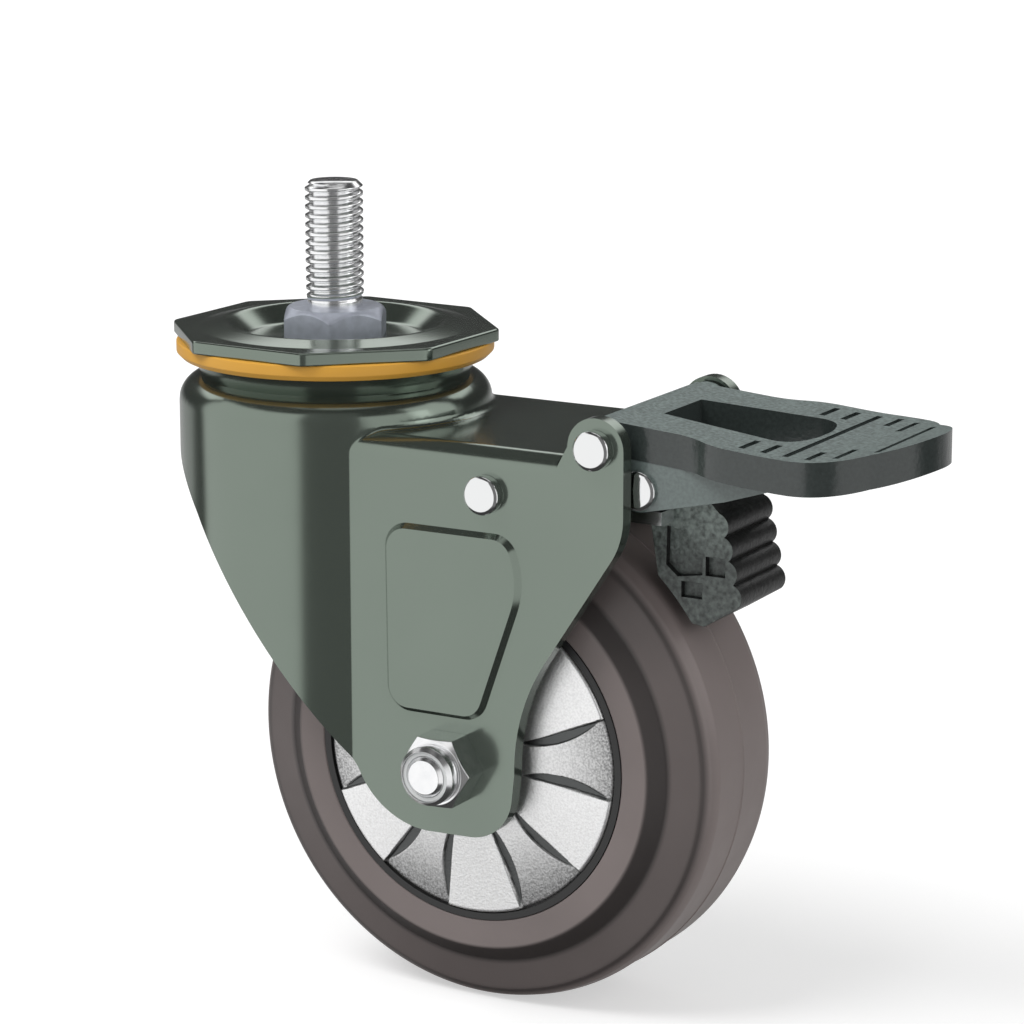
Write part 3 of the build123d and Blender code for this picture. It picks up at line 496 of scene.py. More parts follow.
def add(tree, kind, settings=None, inputs=None):
    """Adds a node with its own settings; each input is a socket to join or a value."""
    node = tree.nodes.new("ShaderNode" + kind)
    for key, value in (settings or {}).items():
        setattr(node, key, value)
    for key, value in (inputs or {}).items():
        if isinstance(value, bpy.types.NodeSocket):
            tree.links.new(value, node.inputs[key])
        else:
            node.inputs[key].default_value = value
    return node


def grain(tree, size, detail=3.0):
    """Noise whose patches are about as large as size, in millimetres, in the object's own space."""
    place = add(tree, "TexCoord").outputs["Object"]
    noise = {"Vector": place, "Scale": 0.5 / (size * MM), "Detail": detail}
    return add(tree, "TexNoise", inputs=noise).outputs["Fac"]


def shade(colour, factor):
    """A colour made lighter or darker by a factor."""
    return tuple(min(channel * factor, 1) for channel in colour)


def finish(name, colour, values, patches=None, dulling=None, relief=None):
    """A material with one principled shader, whose constant values go straight on its sockets.

    Noise makes it uneven: patches are its size, detail and two colours, dulling its size and two
    roughnesses, and relief its size, detail and depth, with lengths in millimetres. A material that exists
    already comes back alone.
    """
    if name in bpy.data.materials:
        return bpy.data.materials[name], None, None
    material = bpy.data.materials.new(name)
    material.use_nodes = True
    tree = material.node_tree
    tree.nodes.clear()
    shader = add(tree, "BsdfPrincipled", inputs={"Base Color": (*colour, 1), **values})
    add(tree, "OutputMaterial", inputs={0: shader.outputs[0]})
    if patches:
        size, detail, low, high = patches
        ends = {"Factor": grain(tree, size, detail), FIRST: (*low, 1), SECOND: (*high, 1)}
        varied = add(tree, "Mix", MIX_COLOURS, ends)
        tree.links.new(varied.outputs[MIXED], shader.inputs["Base Color"])
    if dulling:
        size, low, high = dulling
        spread = add(tree, "MapRange", inputs={"Value": grain(tree, size), "To Min": low, "To Max": high})
        tree.links.new(spread.outputs[0], shader.inputs["Roughness"])
    if relief:
        size, detail, depth = relief
        height = {"Height": grain(tree, size, detail), "Distance": depth * MM, "Strength": 1.0}
        tree.links.new(add(tree, "Bump", inputs=height).outputs[0], shader.inputs["Normal"])
    return material, tree, shader


def coated_steel(context):
    """Pressed sheet steel with a thin grey-green conversion coat, sealed and glossy.

    The eye sees a dark mirror: it takes its light from the studio, with faint waviness from pressing.
    """
    look = context.scene.castor_fork
    colour, roughness = look.coat_colour, look.coat_roughness
    return finish(
        "coated_sheet_steel", colour,
        {"Metallic": 0.88, "Roughness": roughness, "Coat Weight": 0.3, "Coat Roughness": 0.08},
        patches=(14, 3.0, shade(colour, 0.94), shade(colour, 1.05)),
        dulling=(2.5, roughness, roughness + 0.06), relief=(9, 1.0, 0.012),
    )[0]


def zinc_plated_steel(context):
    """Turned steel with bright zinc plating: near white, with fine streaks and cloudy spangle."""
    colour = context.scene.castor_head.zinc_colour
    return finish(
        "zinc_plated_steel", colour, {"Metallic": 1.0, "Roughness": 0.2},
        patches=(1.2, 3.0, shade(colour, 0.86), shade(colour, 1.1)),
        dulling=(0.8, 0.14, 0.28), relief=(0.6, 3.0, 0.003),
    )[0]


def forged_zinc_steel(context):
    """Cold-forged steel with dull blue zinc: the same plating, but scattered by the forged skin."""
    colour = context.scene.castor_head.hexagon_colour
    return finish(
        "forged_zinc_steel", colour, {"Metallic": 0.6, "Roughness": 0.4},
        patches=(1.0, 4.0, shade(colour, 0.72), shade(colour, 1.2)),
        dulling=(0.8, 0.3, 0.55), relief=(0.6, 3.0, 0.02),
    )[0]


def polished_rivet_steel(context):
    """Headed steel pins, polished by the riveting tool: a clear white mirror."""
    values = {"Metallic": 1.0, "Roughness": 0.1}
    return finish("polished_rivet_steel", linear("#e9eaea"), values, relief=(1.5, 3.0, 0.01))[0]


def bearing_steel(context):
    """Hardened and ground bearing steel, smooth and slightly blue."""
    values = {"Metallic": 1.0, "Roughness": 0.2}
    patches = (2, 3.0, linear("#9c9ea3"), linear("#b2b4b8"))
    return finish("ground_bearing_steel", linear("#a7a9ad"), values, patches)[0]


def spring_steel(context):
    """Oil tempered spring wire: dark and slightly glossy."""
    values = {"Metallic": 1.0, "Roughness": 0.35}
    return finish("oil_tempered_wire", linear("#4a4b4e"), values, relief=(0.4, 3.0, 0.008))[0]


def moulded_ring_plastic(context):
    """Moulded polypropylene, orange-yellow all through, with a soft satin skin."""
    colour = context.scene.castor_head.ring_colour
    return finish(
        "moulded_polypropylene", colour, {"Roughness": 0.42, "IOR": 1.49},
        patches=(6, 3.0, shade(colour, 0.92), shade(colour, 1.06)), relief=(0.8, 3.0, 0.01),
    )[0]


def black_nylon(context):
    """Moulded black nylon of the wheel's core: nearly black, satin."""
    values = {"Roughness": 0.4, "IOR": 1.53}
    return finish("moulded_black_nylon", linear("#232323"), values, relief=(0.5, 3.0, 0.01))[0]


def white_nylon(context):
    """Natural nylon of the locking nut's ring: milky white."""
    values = {"Roughness": 0.35, "IOR": 1.53}
    return finish("natural_nylon", linear("#e4e6e6"), values, relief=(0.6, 3.0, 0.006))[0]


def seal_rubber(context):
    """Moulded nitrile of the bearing seals: black and satin."""
    values = {"Roughness": 0.5, "IOR": 1.52}
    return finish("moulded_nitrile_seal", linear("#1d1d1e"), values, relief=(0.5, 3.0, 0.008))[0]


def silver_cover_plastic(context):
    """Moulded cover with a sprayed metallic silver lacquer: bright, with coarse sparkling grain.

    The lacquer's flakes are drawn about 0.2 mm across, coarser than real, because the photo's grain shows.
    It is nearly even on the petals, and painted shade darkens it at the hourglass petals' sunken ends and in
    the flutes.
    """
    colour = context.scene.castor_wheel.cover_colour
    values = {"Metallic": 0.88, "Roughness": 0.34, "Coat Weight": 0.2, "Coat Roughness": 0.12}
    material, tree, shader = finish("metallic_silver_lacquer", colour, values)
    if tree:
        flakes = grain(tree, 0.2, 2.0)
        sparkle = add(tree, "MapRange", inputs={"Value": flakes, "From Min": 0.35, "From Max": 0.65})
        # The second lacquer is the first painted much darker, as painted shade for the hourglass petals'
        # sunken ends
        lacquer_and_painted_shade = [
            add(tree, "Mix", MIX_COLOURS, {
                "Factor": sparkle.outputs[0],
                FIRST: (*shade(colour, dark), 1),
                SECOND: (*shade(colour, bright), 1),
            }).outputs[MIXED]
            for dark, bright in ((0.9, 1.15), (0.22, 0.62))
        ]
        # The hollow mark says where the painted shade of the sunken ends goes
        ends = add(tree, "Attribute", {"attribute_name": "hollow"}).outputs["Fac"]
        petals = add(tree, "Mix", MIX_COLOURS, {"Factor": ends, FIRST: lacquer_and_painted_shade[0], SECOND: lacquer_and_painted_shade[1]})
        # The flutes are painted a dark grey: painted shade in the recesses
        recess_shade = add(tree, "Attribute", {"attribute_name": "recess_shade"}).outputs["Fac"]
        flute_shade = (*linear("#5a5c5c"), 1)
        both = {"Factor": recess_shade, FIRST: petals.outputs[MIXED], SECOND: flute_shade}
        tree.links.new(add(tree, "Mix", MIX_COLOURS, both).outputs[MIXED], shader.inputs["Base Color"])
        bump = add(tree, "Bump", inputs={"Height": flakes, "Distance": 0.04 * MM, "Strength": 1.0})
        tree.links.new(bump.outputs[0], shader.inputs["Normal"])
    return material


def tyre_rubber(context):
    """Moulded thermoplastic rubber, brown-grey and matt, with painted shade and light in bands by radius: a
    lighter band, a dark step, a darker side wall, a dark line at the shoulder and a lighter tread.

    The bands' places come from the distance to the axle, worked out in the object's own space.
    """
    colour = context.scene.castor_wheel.tyre_colour
    material, tree, shader = finish(
        "moulded_tyre_rubber", colour, {"Roughness": 0.45, "IOR": 1.52},
        dulling=(3, 0.34, 0.52), relief=(0.7, 4.0, 0.02),
    )
    if tree:
        middle = centre_of("tyre") * MM
        place = add(tree, "TexCoord").outputs["Object"]
        split = add(tree, "SeparateXYZ", inputs={"Vector": place})
        across = add(tree, "Math", {"operation": "SUBTRACT"}, {0: split.outputs["X"], 1: middle[0]})
        upwards = add(tree, "Math", {"operation": "SUBTRACT"}, {0: split.outputs["Z"], 1: middle[2]})
        flat = add(tree, "CombineXYZ", inputs={"X": across.outputs[0], "Y": upwards.outputs[0]})
        radius = add(tree, "VectorMath", {"operation": "LENGTH"}, {0: flat.outputs[0]}).outputs["Value"]
        share = add(tree, "Math", {"operation": "DIVIDE"}, {0: radius, 1: TYRE_OUTER * MM})
        # Painted shade and light: the ramp paints each band of the tyre lighter or darker by its radius
        shade_bands = add(tree, "ValToRGB", inputs={"Fac": share.outputs[0]})
        stops = shade_bands.color_ramp.elements
        while len(stops) < len(TYRE_SHADE_BANDS):
            stops.new(0.5)
        for stop, (at, level) in zip(stops, TYRE_SHADE_BANDS):
            stop.position = at / TYRE_OUTER
            stop.color = (*shade(colour, level), 1)
        patches = add(tree, "MapRange", inputs={"Value": grain(tree, 10), "To Min": 0.78, "To Max": 1.2})
        clouded = {"Factor": 0.5, FIRST: shade_bands.outputs[0], SECOND: patches.outputs[0]}
        cloud = add(tree, "Mix", MULTIPLY_COLOURS, clouded)
        tree.links.new(cloud.outputs[MIXED], shader.inputs["Base Color"])
    return material


def pedal_plastic(context):
    """Moulded glass-filled nylon, dark grey-green: its top is dulled by a fine spark-eroded texture.

    How far a face looks upwards tells the top from the sides, and the top is painted much lighter than the
    sides as a painted sheen. On the sides, a line that falls towards the tip parts the dark skirt from the
    lighter cheek under it.
    """
    colour = context.scene.castor_pedal.pedal_colour
    # The top's colour, much lighter than the skirt's, is a painted sheen
    skirt, cheek, top = ((*shade(colour, factor), 1) for factor in (0.45, 1.9, 1.75))
    material, tree, shader = finish(
        "moulded_glass_filled_nylon", colour, {"Roughness": 0.24, "IOR": 1.55, "Specular IOR Level": 0.6},
        relief=(0.5, 4.0, 0.05),
    )
    if tree:
        facing = add(tree, "NewGeometry").outputs["True Normal"]
        facing_up = add(tree, "SeparateXYZ", inputs={"Vector": facing}).outputs["Z"]
        steepness = {"Value": facing_up, "From Min": 0.5, "From Max": 0.95}
        upward = add(tree, "MapRange", SOFT_STEP, steepness).outputs[0]
        place = add(tree, "SeparateXYZ", inputs={"Vector": add(tree, "TexCoord").outputs["Object"]})
        fall = add(tree, "Math", {"operation": "MULTIPLY"}, {0: place.outputs["X"], 1: SKIRT_FALL})
        height = add(tree, "Math", {"operation": "ADD"}, {0: place.outputs["Z"], 1: fall.outputs[0]})
        below = add(tree, "MapRange", SOFT_STEP, {
            "Value": height.outputs[0],
            "From Min": SKIRT_LOW * MM,
            "From Max": (SKIRT_LOW - SKIRT_BLEND) * MM,
        })
        sides = add(tree, "Mix", MIX_COLOURS, {"Factor": below.outputs[0], FIRST: skirt, SECOND: cheek})
        # Faces that look upwards take the painted sheen of the top
        both = {"Factor": upward, FIRST: sides.outputs[MIXED], SECOND: top}
        colours = add(tree, "Mix", MIX_COLOURS, both)
        speckle = add(tree, "MapRange", inputs={
            "Value": grain(tree, 0.35, 6.0),
            "From Min": 0.3, "From Max": 0.7, "To Min": 0.45, "To Max": 1.55,
        })
        texture = add(tree, "MapRange", inputs={"Value": upward, "To Min": 0.25})
        cloud = add(tree, "Mix", MULTIPLY_COLOURS, {
            "Factor": texture.outputs[0], FIRST: colours.outputs[MIXED], SECOND: speckle.outputs[0],
        })
        tree.links.new(cloud.outputs[MIXED], shader.inputs["Base Color"])
        rough = add(tree, "MapRange", inputs={"Value": upward, "To Min": 0.2, "To Max": 0.5})
        tree.links.new(rough.outputs[0], shader.inputs["Roughness"])
    return material


def shoe_rubber(context):
    """Hard moulded rubber of the brake shoe: black, satin, with a coarse leather-like side.

    The side is told by how far a face looks along the axle, and it darkens from its upper to its lower end.
    """
    colour = context.scene.castor_pedal.shoe_colour
    black, leather = (*shade(colour, 0.5), 1), (*linear("#8b9691"), 1)
    values = {"Roughness": 0.38, "IOR": 1.52}
    material, tree, shader = finish("moulded_shoe_rubber", colour, values, relief=(0.5, 4.0, 0.16))
    if tree:
        facing = add(tree, "NewGeometry").outputs["True Normal"]
        sideways = add(tree, "SeparateXYZ", inputs={"Vector": facing}).outputs["Y"]
        side = add(tree, "Math", {"operation": "ABSOLUTE"}, {0: sideways}).outputs[0]
        on_side = add(tree, "MapRange", inputs={"Value": side, "From Min": 0.7, "From Max": 0.95})
        place = add(tree, "SeparateXYZ", inputs={"Vector": add(tree, "TexCoord").outputs["Object"]})
        height = add(tree, "MapRange", inputs={
            "Value": place.outputs["Z"],
            "From Min": SHOE_DARK * MM, "From Max": SHOE_LIGHT * MM, "To Min": 0.3,
        })
        # The side's lighter colour fades towards black at its lower end
        side_lighter_upwards = add(tree, "Math", {"operation": "MULTIPLY"}, {0: on_side.outputs[0], 1: height.outputs[0]})
        colours = add(tree, "Mix", MIX_COLOURS, {"Factor": side_lighter_upwards.outputs[0], FIRST: black, SECOND: leather})
        patches = add(tree, "MapRange", inputs={
            "Value": grain(tree, 0.5, 4.0), "From Min": 0.3, "From Max": 0.7, "To Min": 0.4, "To Max": 1.6,
        })
        cloud = add(tree, "Mix", MULTIPLY_COLOURS, {
            "Factor": 1.0, FIRST: colours.outputs[MIXED], SECOND: patches.outputs[0],
        })
        tree.links.new(cloud.outputs[MIXED], shader.inputs["Base Color"])
    return material


# Stem, plate and dust ring


def thread_points(pitch, depth, top):
    """The threaded stem, as rows up its height and columns round it.

    The height over the pitch, less the share of a turn, says how far a point is from one crest to the next.
    The radius goes in a smooth step from the flat crest to the flat root. At the foot the thread runs out
    into an undercut neck, and at the top a chamfer takes off what stands out. Both ends close on the axis.
    """
    angle = ring_angles(STEM_AROUND)[None, :]
    height = np.linspace(0, top, int(top / pitch * STEM_ROWS_PER_TURN))[:, None]
    turns = (height / pitch - angle / (2 * np.pi)) % 1
    groove = smooth_step(CREST_SHARE, 1 - ROOT_SHARE, np.abs(turns - 0.5) * 2)
    run_out = np.clip((height - NECK_HEIGHT) / pitch, 0, 1)
    radius = THREAD_CREST_RADIUS - depth * groove * run_out - NECK_UNDERCUT * (1 - run_out)
    chamfer = THREAD_CREST_RADIUS - np.clip(height - (top - STEM_CHAMFER), 0, None)
    on_axis = np.zeros_like(angle)
    radius = np.vstack([on_axis, np.minimum(radius, chamfer), on_axis])
    height = np.vstack([[[0.0]], height, [[top]]])
    return about_swivel(radius, height, angle)


def hexagon_points(flats, low, shank_low):
    """The hexagon with the shank under it, as columns round the axis and rows from the foot to the top.

    Each row is a circle or the rounded hexagon. The chamfer is a cone, whose fall is its slope times the way
    out from its circle, so that it meets the hexagon's sides in arcs. Two rows close together soften each
    edge.
    """
    angle = ring_angles(HEXAGON_AROUND)[:, None]
    edge = polygon_radius(flats, 6, HEXAGON_TURN, HEXAGON_ROUNDING, angle)
    inside = edge - HEXAGON_SOFTNESS
    face = CHAMFER_CIRCLE * flats
    cone = np.clip(edge - face, 0, None) * CHAMFER_SLOPE
    cone_inside = np.clip(inside - face, 0, None) * CHAMFER_SLOPE
    rows = (
        (0, shank_low),
        (SHANK_RADIUS - SHANK_CHAMFER, shank_low),
        (SHANK_RADIUS, shank_low + SHANK_CHAMFER),
        (SHANK_RADIUS, low),
        (inside, low),
        (edge, low + HEXAGON_SOFTNESS),
        (edge, -cone - 2 * HEXAGON_SOFTNESS),
        (edge, -cone - HEXAGON_SOFTNESS),
        (inside, -cone_inside),
        (face + CHAMFER_BLEND, -CHAMFER_BLEND * CHAMFER_SLOPE),
        (face - CHAMFER_BLEND, 0),
        (0, 0),
    )
    radius, height = (
        np.hstack([np.broadcast_to(value, edge.shape) for value in values]) for values in zip(*rows)
    )
    return about_swivel(radius, height, angle)


class CASTOR_OT_stem(bpy.types.Operator):
    """Builds the threaded stem and its hexagon in place of the plain one"""

    bl_idname = "castor.stem"
    bl_label = "Threaded stem"

    def execute(self, context):
        look = context.scene.castor_head
        low, high = corners("stem_bolt")
        points = thread_points(look.thread_pitch / MM, look.thread_depth / MM, high[2])
        piece("stem_thread", points, "head", zinc_plated_steel(context), (False, True), 60)
        points = hexagon_points(look.hexagon_flats / MM, -look.hexagon_height / MM, low[2])
        hexagon = piece(
            "stem_hexagon", points, "head", forged_zinc_steel(context), (True, False), 25
        )
        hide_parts("stem_bolt")
        return {"FINISHED"}


def plate_points(flats, thickness, floor_bottom, rim_bottom):
    """The dished plate, as columns round the axis and rows along its closed section.

    The section is that of a round plate. Its flat rim is stretched evenly until its edge is on the rounded
    octagon, and the band along the edge moves out whole, so that it keeps its rounding.
    """
    floor_top, rim_top = floor_bottom + thickness, rim_bottom + thickness
    section = rounded([
        (PLATE_HOLE, floor_top, 0),
        (DISH_FLOOR_RADIUS, floor_top, DISH_BEND),
        (DISH_CREST_RADIUS, rim_top + CREST_RISE, DISH_BEND),
        (DISH_RIM_RADIUS, rim_top, DISH_BEND),
        (PLATE_EDGE, rim_top, 0.5),
        (PLATE_EDGE, rim_bottom, 0.35),
        (DISH_RIM_RADIUS, rim_bottom, DISH_BEND),
        (DISH_CREST_RADIUS, rim_bottom + CREST_RISE_BELOW, DISH_BEND),
        (DISH_FLOOR_RADIUS, floor_bottom, DISH_BEND),
        (PLATE_HOLE, floor_bottom, 0),
    ], 8)
    plain, height = section.T
    angle = ring_angles(PLATE_AROUND)[:, None]
    edge = polygon_radius(flats, 8, PLATE_TURN, PLATE_CORNER, angle)
    share = np.clip((plain - STRETCH_START) / (PLATE_EDGE - STRETCH_START), 0, 1)
    in_band = plain > PLATE_EDGE - PLATE_BAND
    radius = np.where(in_band, edge + (plain - PLATE_EDGE), plain + share * (edge - PLATE_EDGE))
    return about_swivel(radius, height, angle)


class CASTOR_OT_plate(bpy.types.Operator):
    """Builds the dished octagonal plate with its pressed and rounded edges"""

    bl_idname = "castor.plate"
    bl_label = "Octagonal plate"

    def execute(self, context):
        look = context.scene.castor_head
        floor_bottom, rim_bottom = corners("top_plate")[0][2], corners("dust_ring")[1][2]
        points = plate_points(look.plate_flats / MM, look.plate_thickness / MM, floor_bottom, rim_bottom)
        plate = piece("dished_plate", points, "head", coated_steel(context), smooth=28)
        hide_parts("top_plate")
        return {"FINISHED"}


class CASTOR_OT_dust_ring(bpy.types.Operator):
    """Builds the moulded dust ring under the plate"""

    bl_idname = "castor.dust_ring"
    bl_label = "Dust ring"

    def execute(self, context):
        low, high = corners("dust_ring")
        outer, top, bottom = high[0], high[2], low[2]
        section = rounded([
            (DUST_RING_INNER, top, 0.1),
            (outer, top, 0.3),
            (outer, bottom + DUST_RING_BEVEL, 0.35),
            (outer - DUST_RING_BEVEL, bottom, 0.25),
            (DUST_RING_INNER, bottom, 0.2),
        ])
        angle = ring_angles(DUST_RING_AROUND)[:, None]
        points = about_swivel(section[:, 0], section[:, 1], angle)
        ring = piece("dust_ring_moulded", points, "head", moulded_ring_plastic(context))
        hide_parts("dust_ring")
        return {"FINISHED"}


# Fork, pins and axle


class CASTOR_OT_fork(bpy.types.Operator):
    """Gives the pressed fork its rounded sheet edges and its coat"""

    bl_idname = "castor.fork"
    bl_label = "Pressed fork"

    def execute(self, context):
        rounding = context.scene.castor_fork.edge_rounding
        moulded_copy("pressed_fork", "fork", "fork_body", coated_steel(context), rounding)
        return {"FINISHED"}


class CASTOR_OT_pins(bpy.types.Operator):
    """Builds the riveted pins with their domed heads"""

    bl_idname = "castor.pins"
    bl_label = "Riveted pins"

    def execute(self, context):
        for node, body, head_height in PINS:
            low, high = corners(node)
            head, end = (high[2] - low[2]) / 2, high[1]
            profile = rounded_both_sides([
                (0, end, 0),
                (head - RIVET_BEVEL, end - RIVET_DOME, 1.0),
                (head, end - RIVET_BEVEL, 0.4),
                (head, end - head_height, 0.15),
                (PIN_RADIUS, end - head_height, 0.05),
            ], 7)
            angle = ring_angles(PIN_AROUND)[:, None]
            points = about_cross_axis(centre_of(node), profile[:, 0], profile[:, 1], angle)
            material = polished_rivet_steel(context)
            pin = piece(node + "_riveted", points, body, material, (True, False), 35)
            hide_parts(node)
        return {"FINISHED"}


class CASTOR_OT_axle(bpy.types.Operator):
    """Builds the axle bolt's head and end, the locking nut and its nylon ring"""

    bl_idname = "castor.axle"
    bl_label = "Axle bolt and nut"

    def execute(self, context):
        for node, name, slot, material in (
            ("axle_bolt", "axle_bolt_plated", "zinc_steel", zinc_plated_steel(context)),
            ("axle_nut", "axle_nut_plated", "zinc_steel", zinc_plated_steel(context)),
            ("nut_insert", "nut_insert_nylon", "nylon", white_nylon(context)),
        ):
            moulded_copy(name, node, "fork_body", material, AXLE_ROUNDING * MM, 30)
        return {"FINISHED"}


# Wheel


class CASTOR_OT_tyre(bpy.types.Operator):
    """Builds the stepped tyre with its rounded shoulders and parting line"""

    bl_idname = "castor.tyre"
    bl_label = "Tyre"

    def execute(self, context):
        half_width = corners("tyre")[1][1]
        profile = rounded_both_sides([
            (TYRE_INNER, CORE_HALF_WIDTH, 0.1),
            (TYRE_SEAT, CORE_HALF_WIDTH, 0.3),
            (TYRE_SEAT, half_width - TYRE_LIP_FALL, 0.5),
            (BAND_EDGE, half_width, 0.9),
            (STEP_EDGE, STEP_HALF_WIDTH, 1.1),
            (SHOULDER_START, SHOULDER_HALF_WIDTH, 0.7),
            (TREAD_START, SHOULDER_HALF_WIDTH - SHOULDER_FALL, 1.5),
            (TYRE_OUTER - PARTING_RISE, TREAD_HALF_WIDTH, 3.0),
            (TYRE_OUTER - PARTING_RISE, 2 * PARTING_HALF_WIDTH, 0.1),
            (TYRE_OUTER, PARTING_HALF_WIDTH, 0.1),
            (TYRE_OUTER, 0, 0),
        ], 6)
        angle = ring_angles(TYRE_AROUND)[:, None]
        points = about_cross_axis(centre_of("tyre"), profile[:, 0], profile[:, 1], angle)
        tyre = piece("moulded_tyre", points, "wheel", tyre_rubber(context), smooth=40)
        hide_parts("tyre")
        return {"FINISHED"}


def cover_grid(look, crown, rim, side, middle):
    """The closed surface of one hub cover, its outer face first and then its back.

    The outer face is a shallow cone from the crown to the rim. On it, each petal line is a crescent between
    two parabolic arcs, which bulge to one side and then the other, so that barrel and hourglass petals take
    turns. The crescent is a step down of the groove's depth, and the hourglass petals sink by a further
    depth that grows with the way out to the rim. Two marks tell the lacquer where to paint shade: in the
    recesses and on the hourglass petals' ends.
    """
    spacing = 2 * np.pi / look.petals
    angle = ring_angles(look.petals * COVER_STEPS)[:, None]
    rings_end = rim - COVER_LIP
    radius = np.concatenate([
        [COVER_HOLE, COVER_HOLE + COVER_HOLE_LIP],
        np.linspace(COVER_RINGS_START, rings_end, COVER_RINGS),
        [rim - COVER_LIP_MIDDLE, rim],
    ])[None, :]
    slope = np.clip((radius - COVER_CROWN) / (rim - COVER_CROWN), 0, 1)
    cone = crown - slope * COVER_DROP
    along = np.clip((radius - FLUTE_START) / (rings_end - FLUTE_START), 0, 1)
    bulge = 4 * along * (1 - along)
    number = np.floor(angle / spacing + 0.5)
    hand = np.where(number % 2 == 0, 1, -1) * side
    offset = (angle - number * spacing) * radius * hand
    inner_arc = FLUTE_LEAN * bulge
    outer_arc = inner_arc + FLUTE_WIDTH * bulge
    past_inner = smooth_step(inner_arc - FLUTE_WALL, inner_arc + FLUTE_WALL, offset)
    past_outer = smooth_step(outer_arc - FLUTE_WALL, outer_arc + FLUTE_WALL, offset)
    inside = past_inner * (1 - past_outer) * (bulge > 0)
    groove = inside * look.groove_depth / MM * np.minimum(bulge * FLUTE_ENTRY, 1)
    in_petal = angle / spacing % 2
    hourglass = np.where(side > 0, in_petal < 1, in_petal >= 1)
    from_edge = np.minimum(in_petal % 1, 1 - in_petal % 1) * spacing * radius
    hollow = hourglass * smooth_step(0, HOLLOW_EDGE, from_edge)
    hollow = hollow * along ** HOLLOW_GROWTH * look.hollow_depth / MM
    outer = cone - groove * (1 - along ** FLUTE_FADE) - hollow
    outer[:, -2:] -= COVER_LIP_FALL
    back_radius = np.array([[rim, COVER_CROWN, COVER_HOLE]])
    back = crown - COVER_WALL - look.groove_depth / MM - np.array([[COVER_DROP, 0, 0]])
    back = back + np.zeros_like(angle)
    around = angle + math.radians(PETAL_TURN)
    sideways = np.hstack([outer, back]) * side
    plain = np.zeros_like(back)
    # Marks for painted shade: in the flutes' recesses and on the hourglass petals' ends
    marks = {
        "recess_shade": np.hstack([inside, plain]),
        "hollow": np.hstack([hourglass * along ** HOLLOW_SHADE_GROWTH, plain]),
    }
    return about_cross_axis(middle, np.hstack([radius, back_radius]), sideways, around), marks


class CASTOR_OT_hub_covers(bpy.types.Operator):
    """Builds the two silver hub covers, with crescent grooves between barrel and hourglass petals"""

    bl_idname = "castor.hub_covers"
    bl_label = "Hub covers"

    def execute(self, context):
        look = context.scene.castor_wheel
        for node, side in (("hub_cover_near", -1), ("hub_cover_far", 1)):
            low, high = corners(node)
            crown = max(abs(low[1]), abs(high[1]))
            rim = (high[2] - low[2]) / 2
            points, marks = cover_grid(look, crown, rim, side, centre_of("tyre"))
            lacquer = silver_cover_plastic(context)
            cover = piece(
                node + "_petals", points, "wheel", lacquer, smooth=50, marks=marks
            )
            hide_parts(node)
        return {"FINISHED"}


class CASTOR_OT_wheel_core(bpy.types.Operator):
    """Finishes the moulded core, whose black rim shows round each cover, and the bearings in it"""

    bl_idname = "castor.wheel_core"
    bl_label = "Wheel core and bearings"

    def execute(self, context):
        nylon = black_nylon(context)
        moulded_copy("moulded_core", "wheel_core", "wheel", nylon, CORE_ROUNDING * MM)
        for side in ("near", "far"):
            for node in ("axle_spacer_", "bearing_outer_", "bearing_inner_", "bearing_balls_"):
                dress(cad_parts[node + side], bearing_steel(context))
            dress(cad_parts["bearing_shield_" + side], seal_rubber(context))
        dress(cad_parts["axle_sleeve"], bearing_steel(context))
        return {"FINISHED"}


# Pedal, brake shoe and lock lever


class CASTOR_OT_pedal(bpy.types.Operator):
    """Gives the moulded pedal its soft edges and textured skin"""

    bl_idname = "castor.pedal"
    bl_label = "Pedal"

    def execute(self, context):
        rounding = context.scene.castor_pedal.edge_rounding
        nylon = pedal_plastic(context)
        moulded_copy("moulded_pedal", "pedal", "brake_pedal", nylon, rounding)
        return {"FINISHED"}


class CASTOR_OT_brake_shoe(bpy.types.Operator):
    """Gives the brake shoe its soft edges and grained rubber, and dresses its spring"""

    bl_idname = "castor.brake_shoe"
    bl_label = "Brake shoe"

    def execute(self, context):
        rubber = shoe_rubber(context)
        moulded_copy("moulded_shoe", "brake_shoe", "shoe", rubber, SHOE_ROUNDING * MM)
        dress(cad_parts["shoe_spring"], spring_steel(context))
        return {"FINISHED"}


class CASTOR_OT_lock_parts(bpy.types.Operator):
    """Dresses the lock lever, the swivel's races and its nut"""

    bl_idname = "castor.lock_parts"
    bl_label = "Lock lever and races"

    def execute(self, context):
        zinc = zinc_plated_steel(context)
        moulded_copy("pressed_lever", "lock_lever", "lever", zinc, LEVER_ROUNDING * MM)
        moulded_copy("kingpin_nut_plated", "kingpin_nut", "head", zinc, NUT_ROUNDING * MM)
        for node in ("upper_balls", "lower_balls", "kingpin_sleeve", "lower_race", "lock_ring"):
            dress(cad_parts[node], bearing_steel(context))
        return {"FINISHED"}


# Stage: floor, light and camera


def direction_to(azimuth, elevation):
    """The direction that an azimuth and elevation in degrees point out from the object.

    Azimuth 0 is -Y, and it grows towards +X.
    """
    bearing, rise = math.radians(azimuth), math.radians(elevation)
    return Vector((
        math.sin(bearing) * math.cos(rise),
        -math.cos(bearing) * math.cos(rise),
        math.sin(rise),
    ))


